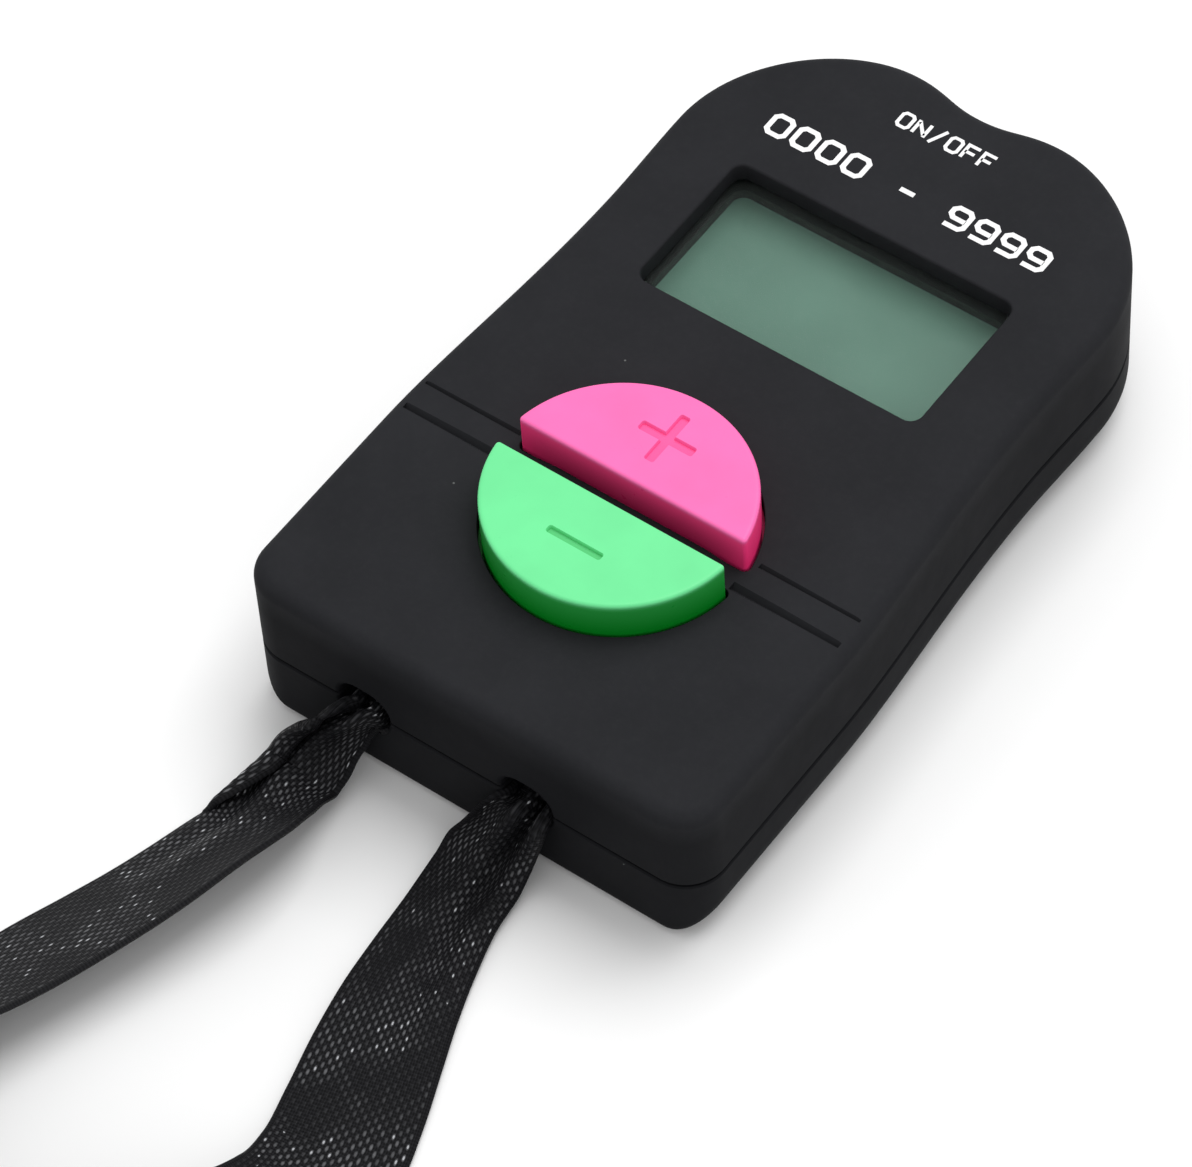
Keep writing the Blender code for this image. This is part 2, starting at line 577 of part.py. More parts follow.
def rear_housing(look):
    shell = bmesh.new()
    top = SEAM_Z - SEAM_GAP / 2
    lip_inset = WALL + GAP
    inner = lip_inset + LIP_THICKNESS
    rings = [
        ring(inner, FLOOR_THICKNESS),
        ring(inner, top + LIP_HEIGHT),
        ring(lip_inset, top + LIP_HEIGHT),
        ring(lip_inset, top),
        ring(0, top),
    ]
    radius = REAR_END_RADIUS + (REAR_SIDE_RADIUS - REAR_END_RADIUS) * NORMALS[:, 0] ** 2
    add_loft(shell, rings + edge_rings(radius, 0, -1))
    housing = finish_object("rear_housing", shell, look)

    added = bmesh.new()
    base = FLOOR_THICKNESS / 2
    for place in mirrored(HEAD_BOSS_AT) + mirrored(END_BOSS_AT):
        add_cylinder(added, place, BOSS_RADIUS, base, BOSS_JOINT_Z - GAP / 2)
    ledge = rounded_rectangle(
        (0, COVER_Y),
        COVER_WIDTH + 2 * LEDGE_WIDTH,
        COVER_LENGTH + 2 * LEDGE_WIDTH,
        COVER_CORNER,
    )
    add_prism(added, ledge, base, LEDGE_TOP_Z)
    boolean(housing, finish_object("rear_additions", added, None, helper=True), "UNION")

    raised = bmesh.new()
    rise = LEDGE_TOP_Z - LEDGE_THICKNESS / 2
    add_cylinder(raised, (0, CELL_Y), CELL_RADIUS + GAP + CRADLE_WALL, rise, CRADLE_TOP_Z, 32)
    add_cylinder(raised, (0, COVER_SCREW_Y), POST_RADIUS, rise, CRADLE_TOP_Z, 16)
    boolean(housing, finish_object("rear_risers", raised, None, helper=True), "UNION")

    cut = bmesh.new()
    add_prism(cut, cover_outline(GAP), -OVERSHOOT, LEDGE_BOTTOM_Z)
    for place in mirrored(HEAD_BOSS_AT) + mirrored(END_BOSS_AT):
        shank = HOUSING_SCREW_RADIUS + SCREW_GAP
        seat = HOUSING_HEAD_Z + HOUSING_HEAD_THICKNESS + GAP
        head = HOUSING_SCREW_HEAD + SCREW_GAP
        add_turned(cut, place, [
            (head, -OVERSHOOT), (head, seat), (shank, seat), (shank, BOSS_JOINT_Z + GAP),
        ], 16)
    slot_cutters(cut)
    boolean(housing, finish_object("rear_cuts", cut, None, helper=True), "DIFFERENCE")

    bore = bmesh.new()
    add_cylinder(
        bore, (0, CELL_Y), CELL_RADIUS + GAP, LEDGE_BOTTOM_Z - OVERSHOOT,
        CRADLE_TOP_Z + OVERSHOOT, 32,
    )
    pilot = BOARD_SCREW_RADIUS + SCREW_GAP
    add_cylinder(
        bore, (0, COVER_SCREW_Y), pilot, LEDGE_BOTTOM_Z - OVERSHOOT, COVER_SCREW_TIP_Z + GAP, 12
    )
    boolean(housing, finish_object("bay_bores", bore, None, helper=True), "DIFFERENCE")

    notch = bmesh.new()
    wide = CONTACT_WIDTH / 2 + GAP
    reach = CELL_RADIUS + GAP + CRADLE_WALL
    add_box(
        notch,
        (CELL_RADIUS - OVERSHOOT, CELL_Y - wide, LEDGE_TOP_Z),
        (reach + OVERSHOOT, CELL_Y + wide, CRADLE_TOP_Z + OVERSHOOT),
    )
    boolean(housing, finish_object("contact_notch", notch, None, helper=True), "DIFFERENCE")


def battery_cover(look):
    plate = bmesh.new()
    add_prism(plate, cover_outline(0), 0, COVER_THICKNESS)
    cover = finish_object("battery_cover", plate, look, (0, COVER_Y, 0))
    cut = bmesh.new()
    shank = BOARD_SCREW_RADIUS + SCREW_GAP
    head = BOARD_SCREW_HEAD + SCREW_GAP
    seat = COVER_HEAD_SINK + COVER_HEAD_THICKNESS + PRESSED_GAP
    add_turned(cut, (0, COVER_SCREW_Y), [
        (head, -OVERSHOOT), (head, seat), (shank, seat), (shank, COVER_THICKNESS + OVERSHOOT),
    ], 16)
    for i in range(GRIP_RIDGES):
        y = COVER_END_Y + COVER_LENGTH - GRIP_INSET - GRIP_STEP * i
        add_box(
            cut,
            (-GRIP_WIDTH / 2, y - GRIP_GROOVE / 2, -OVERSHOOT),
            (GRIP_WIDTH / 2, y + GRIP_GROOVE / 2, GRIP_GROOVE),
        )
    boolean(cover, finish_object("cover_cuts", cut, None, helper=True), "DIFFERENCE")


def screw(name, look, place, radius, head_radius, head_low, head_thickness, tip, recess):
    """A round-headed screw with its head down, and a cross recess cut in the head."""
    body = bmesh.new()
    head_top = head_low + head_thickness
    add_turned(body, place, [
        (head_radius * 0.82, head_low),
        (head_radius, head_low + head_thickness * 0.35),
        (head_radius, head_top),
        (radius, head_top),
        (radius, tip - radius * 0.8),
        (radius * 0.45, tip),
    ], 14)
    made = finish_object(name, body, look, (*place, head_low))
    for i in range(2):
        cut = bmesh.new()
        long, short = head_radius * 0.62, head_radius * 0.17
        half = (long, short) if i == 0 else (short, long)
        add_box(
            cut,
            (place[0] - half[0], place[1] - half[1], head_low - OVERSHOOT),
            (place[0] + half[0], place[1] + half[1], head_low + recess),
        )
        boolean(made, finish_object(f"{name}_cross_{i}", cut, None, helper=True), "DIFFERENCE")


def housing_screws(look):
    places = mirrored(HEAD_BOSS_AT) + mirrored(END_BOSS_AT)
    for i, place in enumerate(places):
        screw(
            f"housing_screw_{i + 1}", look, place, HOUSING_SCREW_RADIUS, HOUSING_SCREW_HEAD,
            HOUSING_HEAD_Z, HOUSING_HEAD_THICKNESS, HOUSING_SCREW_TIP_Z,
            HOUSING_HEAD_THICKNESS * 0.5,
        )


def board_screws(look):
    places = mirrored(UPPER_POST_AT) + mirrored(LOWER_POST_AT)
    low = UNDER_BOARD_Z - BOARD_HEAD_THICKNESS
    for i, place in enumerate(places):
        screw(
            f"board_screw_{i + 1}", look, place, BOARD_SCREW_RADIUS, BOARD_SCREW_HEAD,
            low, BOARD_HEAD_THICKNESS, BOARD_SCREW_TIP_Z, BOARD_HEAD_THICKNESS * 0.5,
        )


def cover_screw(look):
    screw(
        "cover_screw", look, (0, COVER_SCREW_Y), BOARD_SCREW_RADIUS, BOARD_SCREW_HEAD,
        COVER_HEAD_SINK, COVER_HEAD_THICKNESS, COVER_SCREW_TIP_Z, COVER_HEAD_THICKNESS * 0.5,
    )


def sign_bars(mesh_data, y, crossed):
    low, high = KEY_TOP_Z - SIGN_DEPTH, KEY_TOP_Z + OVERSHOOT
    half, width = SIGN_LENGTH / 2, SIGN_WIDTH / 2
    if crossed:
        outline = [
            (-half, -width), (-width, -width), (-width, -half), (width, -half),
            (width, -width), (half, -width), (half, width), (width, width),
            (width, half), (-width, half), (-width, width), (-half, width),
        ]
    else:
        outline = rectangle((-half, -width), (half, width))
    add_prism(mesh_data, [(px, py + y) for px, py in outline], low, high)


def counting_key(name, look, edge, side, sign_y, crossed):
    """A half-round key: cap through the face, wider flange under it and a stem below."""
    centre_y = dome_y(edge, side)
    cap = bmesh.new()
    outline = half_disc(edge, side, KEY_RADIUS)
    inner = half_disc(edge + side * KEY_EDGE_BEVEL, side, KEY_RADIUS - KEY_EDGE_BEVEL)
    middle = half_disc(
        edge + side * KEY_EDGE_BEVEL * 0.3, side, KEY_RADIUS - KEY_EDGE_BEVEL * 0.3
    )
    add_loft(cap, [
        [(x, y, FLANGE_TOP_Z - KEY_FLANGE_THICKNESS / 2) for x, y in outline],
        [(x, y, KEY_TOP_Z - KEY_EDGE_BEVEL) for x, y in outline],
        [(x, y, KEY_TOP_Z - KEY_EDGE_BEVEL * 0.3) for x, y in middle],
        [(x, y, KEY_TOP_Z) for x, y in inner],
    ])
    key = finish_object(name, cap, look, (0, centre_y, FACE_Z))
    added = bmesh.new()
    flange = half_disc(edge - side * KEY_FLANGE * 0.8, side, KEY_RADIUS + KEY_FLANGE)
    add_prism(added, flange, FLANGE_BOTTOM_Z, FLANGE_TOP_Z)
    boolean(key, finish_object(f"{name}_flange", added, None, helper=True), "UNION")
    stem = bmesh.new()
    add_cylinder(
        stem, (0, centre_y), STEM_RADIUS, STEM_BOTTOM_Z,
        FLANGE_BOTTOM_Z + KEY_FLANGE_THICKNESS / 3, 20,
    )
    boolean(key, finish_object(f"{name}_stem", stem, None, helper=True), "UNION")
    cut = bmesh.new()
    sign_bars(cut, sign_y, crossed)
    boolean(key, finish_object(f"{name}_sign", cut, None, helper=True), "DIFFERENCE")


def dome_y(edge, side):
    """The middle of a half-round key, where its stem and dome are."""
    return edge + side * 4 * KEY_RADIUS / (3 * math.pi)


def dome(name, look, edge, side):
    """A hollow silicone dome on the board, open underneath."""
    place = (0, dome_y(edge, side))
    shell = bmesh.new()
    roof = DOME_TOP_Z - DOME_WALL
    foot = ON_BOARD_Z + (DOME_TOP_Z - ON_BOARD_Z) * 0.3
    add_turned(shell, place, [
        (DOME_TOP_RADIUS - DOME_WALL * 0.4, roof),
        (DOME_BASE_RADIUS - DOME_WALL * 1.6, foot),
        (DOME_BASE_RADIUS - DOME_WALL * 1.6, ON_BOARD_Z),
        (DOME_BASE_RADIUS, ON_BOARD_Z),
        (DOME_BASE_RADIUS, foot),
        (DOME_TOP_RADIUS + DOME_WALL * 0.5, DOME_TOP_Z - DOME_WALL * 0.4),
        (DOME_TOP_RADIUS, DOME_TOP_Z),
    ], 20)
    finish_object(name, shell, look, (*place, ON_BOARD_Z))


def carbon_pill(name, look, edge, side):
    """The conductive disc under a dome, which meets the board when its key is pressed."""
    place = (0, dome_y(edge, side))
    body = bmesh.new()
    add_cylinder(body, place, PILL_RADIUS, PILL_BOTTOM_Z, PILL_TOP_Z, 16)
    finish_object(name, body, look, (*place, PILL_TOP_Z))


def display(looks):
    centre = (0, WINDOW_Y)
    lens = bmesh.new()
    add_prism(
        lens,
        rounded_rectangle(
            centre, WINDOW_WIDTH + 2 * LENS_MARGIN, WINDOW_HEIGHT + 2 * LENS_MARGIN,
            WINDOW_CORNER,
        ),
        LENS_BOTTOM_Z, LENS_TOP_Z,
    )
    finish_object("display_window", lens, looks["clear"], (*centre, LENS_TOP_Z))

    glass = bmesh.new()
    half = (LCD_WIDTH / 2, LCD_HEIGHT / 2)
    low = (-half[0], WINDOW_Y - half[1])
    high = (half[0], WINDOW_Y + half[1])
    add_box(glass, (*low, LCD_BOTTOM_Z), (*high, LCD_TOP_Z))
    finish_object("lcd_glass", glass, looks["lcd"], (*centre, LCD_BOTTOM_Z))

    strip_y = low[1] + GAP + CONNECTOR_WIDTH / 2
    strip = bmesh.new()
    add_box(
        strip,
        (-CONNECTOR_LENGTH / 2, strip_y - CONNECTOR_WIDTH / 2, ON_BOARD_Z),
        (CONNECTOR_LENGTH / 2, strip_y + CONNECTOR_WIDTH / 2, LCD_BOTTOM_Z - GAP),
    )
    finish_object("lcd_connector", strip, looks["silicone"], (0, strip_y, ON_BOARD_Z))

    sheet = bmesh.new()
    top = LCD_BOTTOM_Z - GAP
    add_box(
        sheet,
        (low[0] + GAP, strip_y + CONNECTOR_WIDTH / 2 + GAP, top - REFLECTOR_THICKNESS),
        (high[0] - GAP, high[1] - GAP, top),
    )
    finish_object("lcd_reflector", sheet, looks["foil"], (0, WINDOW_Y, top))

    frame = bmesh.new()
    outer = (half[0] + GAP + HOLDER_WALL, HOLDER_HALF_HEIGHT)
    add_box(
        frame,
        (-outer[0], WINDOW_Y - outer[1], ON_BOARD_Z),
        (outer[0], WINDOW_Y + outer[1], HOLDER_TOP_Z),
    )
    holder = finish_object("lcd_holder", frame, looks["white"], (*centre, ON_BOARD_Z))
    cut = bmesh.new()
    add_box(
        cut,
        (low[0] - GAP, low[1] - GAP, ON_BOARD_Z - OVERSHOOT),
        (high[0] + GAP, high[1] + GAP, LCD_TOP_Z + GAP),
    )
    boolean(holder, finish_object("holder_bay", cut, None, helper=True), "DIFFERENCE")
    room = bmesh.new()
    for place in mirrored(HEAD_BOSS_AT):
        add_cylinder(
            room, place, BOSS_RADIUS + GAP, ON_BOARD_Z - OVERSHOOT, HOLDER_TOP_Z + OVERSHOOT
        )
    boolean(holder, finish_object("holder_boss_room", room, None, helper=True), "DIFFERENCE")
    view = bmesh.new()
    add_box(
        view,
        (low[0] + HOLDER_LIP, low[1] + HOLDER_LIP / 2, LCD_TOP_Z - GAP),
        (high[0] - HOLDER_LIP, high[1] - HOLDER_LIP / 2, HOLDER_TOP_Z + OVERSHOOT),
    )
    boolean(holder, finish_object("holder_view", view, None, helper=True), "DIFFERENCE")


def circuit_board(look):
    half, tongue = BOARD_HALF_WIDTH, BOARD_TONGUE_HALF
    outline = [
        (-half, BOARD_END_Y), (half, BOARD_END_Y), (half, BOARD_TOP_Y),
        (tongue, BOARD_TOP_Y), (tongue, BOARD_TONGUE_Y), (-tongue, BOARD_TONGUE_Y),
        (-tongue, BOARD_TOP_Y), (-half, BOARD_TOP_Y),
    ]
    plate = bmesh.new()
    add_prism(plate, outline, BOARD_BOTTOM_Z, BOARD_TOP_Z)
    board = finish_object("circuit_board", plate, look, (0, 0, BOARD_TOP_Z))
    cut = bmesh.new()
    for place in mirrored(UPPER_POST_AT) + mirrored(LOWER_POST_AT):
        add_cylinder(
            cut, place, BOARD_SCREW_RADIUS + SCREW_GAP, BOARD_BOTTOM_Z - OVERSHOOT,
            BOARD_TOP_Z + OVERSHOOT, 12,
        )
    boolean(board, finish_object("board_holes", cut, None, helper=True), "DIFFERENCE")


def from_keys(offset):
    """The place at that offset from the middle of the keys."""
    return (offset[0], KEY_CENTRE_Y + offset[1])


def board_parts(looks):
    chip = bmesh.new()
    place = from_keys(CHIP_AT)
    low = UNDER_BOARD_Z - CHIP_HEIGHT
    profile = []
    for i in range(5):
        angle = math.pi / 2 * (0.12 + 0.88 * i / 4)
        z = UNDER_BOARD_Z - CHIP_HEIGHT * math.cos(angle)
        profile.append((CHIP_RADIUS * math.sin(angle), z))
    add_turned(chip, place, profile, 20)
    finish_object("counter_chip", chip, looks["epoxy"], (*place, low))

    can = bmesh.new()
    z = UNDER_BOARD_Z - CRYSTAL_RADIUS
    x, y = from_keys(CRYSTAL_AT)
    rings = []
    for share, radius in ((-0.5, 0.8), (-0.46, 1.0), (0.46, 1.0), (0.5, 0.8)):
        rings.append([
            (x + radius * px, y + share * CRYSTAL_LENGTH, z + radius * pz)
            for px, pz in circle((0, 0), CRYSTAL_RADIUS, 16)
        ])
    add_loft(can, rings)
    finish_object("crystal", can, looks["steel"], (x, y, z))

    length, width, height = SMALL_PART_SIZE
    for name, at in SMALL_PARTS.items():
        x, y = from_keys(at)
        block = bmesh.new()
        add_box(
            block,
            (x - length / 2, y - width / 2, UNDER_BOARD_Z - height),
            (x + length / 2, y + width / 2, UNDER_BOARD_Z),
        )
        look = looks["ceramic"] if name.startswith("capacitor") else looks["epoxy"]
        finish_object(name, block, look, (x, y, UNDER_BOARD_Z))


def reset_parts(looks):
    """The button in the notch, its plunger, and the switch on the board's tongue."""
    back = RESET_FLANGE_Y - RESET_FLANGE_THICKNESS
    half, tall = RESET_WIDTH / 2, RESET_HEIGHT / 2
    front = NOTCH_Y + RESET_PROUD
    button = bmesh.new()
    rings = []
    for y, shrink in (
        (RESET_FLANGE_Y - RESET_FLANGE_THICKNESS / 2, 0),
        (front - RESET_BEVEL, 0),
        (front, RESET_BEVEL),
    ):
        outline = rounded_rectangle(
            (0, RESET_Z), RESET_WIDTH - 2 * shrink, RESET_HEIGHT - 2 * shrink, RESET_CORNER
        )
        rings.append([(x, y, z) for x, z in outline])
    add_loft(button, rings)
    made = finish_object("reset_button", button, looks["key"], (0, front, RESET_Z))
    flange = bmesh.new()
    add_box(
        flange,
        (-half - RESET_FLANGE, back, RESET_Z - tall - RESET_FLANGE / 3),
        (half + RESET_FLANGE, RESET_FLANGE_Y, RESET_Z + tall + RESET_FLANGE / 3),
    )
    boolean(made, finish_object("reset_flange", flange, None, helper=True), "UNION")

    plunger = bmesh.new()
    add_loft(plunger, [
        [(x, y, z) for x, z in circle((0, RESET_Z), PLUNGER_RADIUS, 14)]
        for y in (PLUNGER_END_Y - PLUNGER_LENGTH, PLUNGER_END_Y)
    ])
    finish_object("reset_plunger", plunger, looks["white"], (0, PLUNGER_END_Y, RESET_Z))

    face = SWITCH_FACE_Y
    body = bmesh.new()
    add_box(
        body,
        (-SWITCH_WIDTH / 2, face - SWITCH_LENGTH, ON_BOARD_Z),
        (SWITCH_WIDTH / 2, face, ON_BOARD_Z + SWITCH_HEIGHT),
    )
    switch = finish_object("reset_switch", body, looks["epoxy"], (0, face, ON_BOARD_Z))
    bore = bmesh.new()
    deep = PLUNGER_END_Y - PLUNGER_LENGTH - RESET_TRAVEL - 2 * GAP
    add_loft(bore, [
        [(x, y, z) for x, z in circle((0, RESET_Z), PLUNGER_RADIUS + GAP, 14)]
        for y in (deep, face + OVERSHOOT)
    ])
    boolean(switch, finish_object("switch_bore", bore, None, helper=True), "DIFFERENCE")


def battery_parts(looks):
    cell = bmesh.new()
    r, low, high = CELL_RADIUS, CELL_BOTTOM_Z, CELL_TOP_Z
    add_turned(cell, (0, CELL_Y), [
        (r * 0.94, low),
        (r, low + r * 0.06),
        (r, high - CELL_THICKNESS * 0.18),
        (r * 0.9, high - CELL_THICKNESS * 0.11),
        (r * 0.86, high - CELL_THICKNESS * 0.04),
        (r * 0.82, high),
    ], 32)
    finish_object("button_cell", cell, looks["steel"], (0, CELL_Y, low))

    leaf = bmesh.new()
    top = BOARD_BOTTOM_Z - CELL_GAP
    add_prism(
        leaf,
        rounded_rectangle((0, CELL_Y), CELL_RADIUS * 1.7, CONTACT_WIDTH, CONTACT_WIDTH * 0.3),
        top - CONTACT_THICKNESS, top,
    )
    finish_object("cell_top_contact", leaf, looks["spring_steel"], (0, CELL_Y, top))

    strip = bmesh.new()
    x = CELL_RADIUS + GAP
    add_box(
        strip,
        (x, CELL_Y - CONTACT_WIDTH / 2, LEDGE_TOP_Z + GAP),
        (x + SIDE_CONTACT_THICKNESS, CELL_Y + CONTACT_WIDTH / 2, UNDER_BOARD_Z),
    )
    finish_object("cell_side_contact", strip, looks["spring_steel"], (x, CELL_Y, UNDER_BOARD_Z))


def smooth_route(route, steps):
    """A centripetal curve through the route's points, with all its values."""
    points = np.array(route, float)
    first = 2 * points[0] - points[1]
    last = 2 * points[-1] - points[-2]
    padded = np.vstack([first, points, last])
    knots = [0.0]
    for a, b in zip(padded, padded[1:]):
        knots.append(knots[-1] + math.sqrt(np.linalg.norm((b - a)[:3])))
    made = []
    for i in range(1, len(padded) - 2):
        p0, p1, p2, p3 = padded[i - 1:i + 3]
        t0, t1, t2, t3 = knots[i - 1:i + 3]
        for k in range(steps):
            t = t1 + (t2 - t1) * k / steps
            a1 = p0 * (t1 - t) / (t1 - t0) + p1 * (t - t0) / (t1 - t0)
            a2 = p1 * (t2 - t) / (t2 - t1) + p2 * (t - t1) / (t2 - t1)
            a3 = p2 * (t3 - t) / (t3 - t2) + p3 * (t - t2) / (t3 - t2)
            b1 = a1 * (t2 - t) / (t2 - t0) + a2 * (t - t0) / (t2 - t0)
            b2 = a2 * (t3 - t) / (t3 - t1) + a3 * (t - t1) / (t3 - t1)
            made.append(b1 * (t2 - t) / (t2 - t1) + b2 * (t - t1) / (t2 - t1))
    made.append(points[-1])
    return np.array(made)


def add_ribbon(mesh_data, centres, widths, thicknesses, tilts):
    """A flat strip along the centres. A tilt of 0 lies flat and 90 stands on its edge."""
    along = np.gradient(centres, axis=0)
    along /= np.linalg.norm(along, axis=1)[:, None]
    rings = []
    for centre, way, width, thick, tilt in zip(centres, along, widths, thicknesses, tilts):
        side = np.array([-way[1], way[0], 0.0])
        side /= np.linalg.norm(side)
        up = np.cross(way, side)
        up = up if up[2] > 0 else -up
        across = side * math.cos(tilt) + up * math.sin(tilt)
        through = np.cross(way, across)
        rings.append([
            tuple(centre + across * width * a / 2 + through * thick * b / 2)
            for a, b in ((-1, -1), (1, -1), (1, 1), (-1, 1))
        ])
    add_loft(mesh_data, rings)


def free_stretch(name, look, route):
    curve = smooth_route(route, ROUTE_STEPS)
    widths, tilts = curve[:, 3], np.radians(curve[:, 4])
    share = np.clip((widths - FOLDED_WIDTH) / (RIBBON_WIDTH - FOLDED_WIDTH), 0, 1)
    thicknesses = FOLDED_THICKNESS + (RIBBON_THICKNESS - FOLDED_THICKNESS) * share
    centres = curve[:, :3].copy()
    centres[:, 2] += (widths * abs(np.sin(tilts)) + thicknesses * np.cos(tilts)) / 2
    body = bmesh.new()
    add_ribbon(body, centres, widths, thicknesses, tilts)
    finish_object(name, body, look, tuple(centres[0]))


def drawn_in(y):
    """How far the hank is drawn in at y from its middle, from 1 at the tie to 0."""
    return np.exp(-(y / HANK_WAIST_REACH) ** 2)


def hank_path():
    """The folded ribbon's middle line: two arms that wind out from one centre run.

    Each arm goes round the other's turns, so no turn crosses another. The runs are drawn in
    at the waist, where the tie is.
    """
    near, mid, far = HANK_CENTRE_STEP, HANK_CENTRE_STEP + HANK_STEP, HANK_CENTRE_STEP + 2 * HANK_STEP
    runs = [-mid, near, 0.0, -near, mid, -far]
    half = HANK_RUN / 2
    points = []
    for i, x in enumerate(runs):
        way = -1 if i % 2 == 0 else 1
        for k in range(RUN_STEPS):
            points.append((x, -way * half + way * HANK_RUN * k / RUN_STEPS))
        if i + 1 == len(runs):
            points.append((x, way * half))
            continue
        centre, radius = (x + runs[i + 1]) / 2, abs(runs[i + 1] - x) / 2
        for k in range(TURN_STEPS):
            angle = math.pi * k / TURN_STEPS
            side = math.copysign(1, x - centre)
            points.append((centre + side * radius * math.cos(angle),
                           way * (half + radius * math.sin(angle))))
    flat = np.array(points)
    drawn = drawn_in(flat[:, 1])
    x = HANK_X + flat[:, 0] * (1 - HANK_WAIST * drawn)
    y = HANK_Y + flat[:, 1]
    z = RIBBON_WIDTH / 2 + HANK_LIFT * drawn
    return np.stack([x, y, z], axis=1)


def least_self_gap(centres):
    """The least face-to-face gap between lengths of the hank that aren't next to each other."""
    flat = centres[:, :2]
    steps = np.r_[0, np.cumsum(np.linalg.norm(np.diff(flat, axis=0), axis=1))]
    apart = np.linalg.norm(flat[:, None] - flat[None], axis=2)
    far = np.abs(steps[:, None] - steps[None]) > 4 * HANK_STEP
    return apart[far].min() - RIBBON_THICKNESS


def lanyard(looks):
    free_stretch("lanyard_left", looks["ribbon"], LEFT_ROUTE)
    free_stretch("lanyard_right", looks["ribbon"], RIGHT_ROUTE)
    path = hank_path()
    count = len(path)
    body = bmesh.new()
    add_ribbon(
        body, path, [RIBBON_WIDTH] * count, [RIBBON_THICKNESS] * count,
        [math.pi / 2] * count,
    )
    finish_object("lanyard_hank", body, looks["ribbon"], (HANK_X, HANK_Y, 0))
    print(f"least gap of the hank to itself: {least_self_gap(path) / MM:.2f} mm")

    waist = 1 - HANK_WAIST * drawn_in(TIE_WIDTH)
    half = (HANK_CENTRE_STEP + 2 * HANK_STEP) * waist + RIBBON_THICKNESS / 2 + GAP
    right = (HANK_CENTRE_STEP + HANK_STEP) * waist + RIBBON_THICKNESS / 2 + GAP
    top = RIBBON_TOP_Z + GAP
    inner = [(-half, TIE_THICKNESS), (right, TIE_THICKNESS), (right, top), (-half, top)]
    outer = [
        (-half - TIE_THICKNESS, 0), (right + TIE_THICKNESS, 0),
        (right + TIE_THICKNESS, top + TIE_THICKNESS), (-half - TIE_THICKNESS, top + TIE_THICKNESS),
    ]
    band = bmesh.new()
    rows = []
    for outline, y in ((inner, -1), (outer, -1), (outer, 1), (inner, 1)):
        rows.append([
            band.verts.new((HANK_X + x, HANK_Y + y * TIE_WIDTH / 2, z)) for x, z in outline
        ])
    for a, b in zip(rows, rows[1:] + rows[:1]):
        for i in range(4):
            j = (i + 1) % 4
            band.faces.new((a[i], a[j], b[j], b[i]))
    finish_object("lanyard_tie", band, looks["tie"], (HANK_X, HANK_Y, 0))

    inside = bmesh.new()
    wall = END_Y + WALL + GAP + LIP_THICKNESS
    run_y = wall + GAP + FOLDED_THICKNESS / 2
    left, right = LEFT_SLOT_X, RIGHT_SLOT_X
    bend = FOLDED_THICKNESS * 0.8
    width = FOLDED_WIDTH - 3 * GAP
    z = SLOT_BASE_Z + GAP + width / 2
    path = np.array([
        (left, END_Y + GAP, z), (left, run_y - bend, z),
        (left + bend * 0.35, run_y - bend * 0.35, z), (left + bend, run_y, z),
        (right - bend, run_y, z), (right - bend * 0.35, run_y - bend * 0.35, z),
        (right, run_y - bend, z), (right, END_Y + GAP, z),
    ])
    count = len(path)
    add_ribbon(
        inside, path, [width] * count, [FOLDED_THICKNESS] * count,
        [math.pi / 2] * count,
    )
    finish_object("lanyard_inside", inside, looks["ribbon"], ((left + right) / 2, run_y, z))


def make_looks():
    return {
        "body": material("soft_touch_black", (0.012, 0.013, 0.014), 0.55),
        "plus": material("pink_key", (1.0, 0.13, 0.42), 0.38),
        "minus": material("green_key", (0.12, 0.9, 0.28), 0.38),
        "key": material("reset_grey", (0.05, 0.05, 0.055), 0.5),
        "clear": material("clear_window", (0.75, 0.82, 0.78), 0.05, alpha=0.35, transmission=0.9),
        "lcd": material("lcd_grey_green", (0.16, 0.25, 0.2), 0.25),
        "silicone": material("silicone", (0.55, 0.56, 0.55), 0.6),
        "foil": material("reflector_foil", (0.7, 0.72, 0.7), 0.35, metallic=0.8),
        "white": material("white_moulding", (0.75, 0.75, 0.73), 0.45),
        "board": material("board_green", (0.02, 0.16, 0.07), 0.4),
        "epoxy": material("black_epoxy", (0.01, 0.01, 0.01), 0.3),
        "ceramic": material("ceramic", (0.4, 0.27, 0.15), 0.5),
        "carbon": material("carbon", (0.02, 0.02, 0.02), 0.7),
        "steel": material("steel", (0.62, 0.62, 0.6), 0.28, metallic=1.0),
        "spring_steel": material("spring_steel", (0.66, 0.6, 0.45), 0.3, metallic=1.0),
        "ribbon": material("woven_ribbon", (0.02, 0.02, 0.022), 0.5),
        "tie": material("soft_tie", (0.05, 0.05, 0.055), 0.6),
    }


def build():
    for existing in list(bpy.data.objects):
        bpy.data.objects.remove(existing)
    looks = make_looks()
    front_housing(looks["body"])
    rear_housing(looks["body"])
    battery_cover(looks["body"])
    for name, edge, side, sign_y in (
        ("plus", PLUS_EDGE_Y, 1, PLUS_SIGN_Y), ("minus", MINUS_EDGE_Y, -1, MINUS_SIGN_Y)
    ):
        counting_key(f"{name}_key", looks[name], edge, side, sign_y, side > 0)
        dome(f"{name}_dome", looks["silicone"], edge, side)
        carbon_pill(f"{name}_contact", looks["carbon"], edge, side)
    display(looks)
    circuit_board(looks["board"])
    board_parts(looks)
    reset_parts(looks)
    battery_parts(looks)
    housing_screws(looks["steel"])
    board_screws(looks["steel"])
    cover_screw(looks["steel"])
    lanyard(looks)


build()
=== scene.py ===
import math

import bmesh
import bpy
import numpy as np
from mathutils import Matrix, Vector


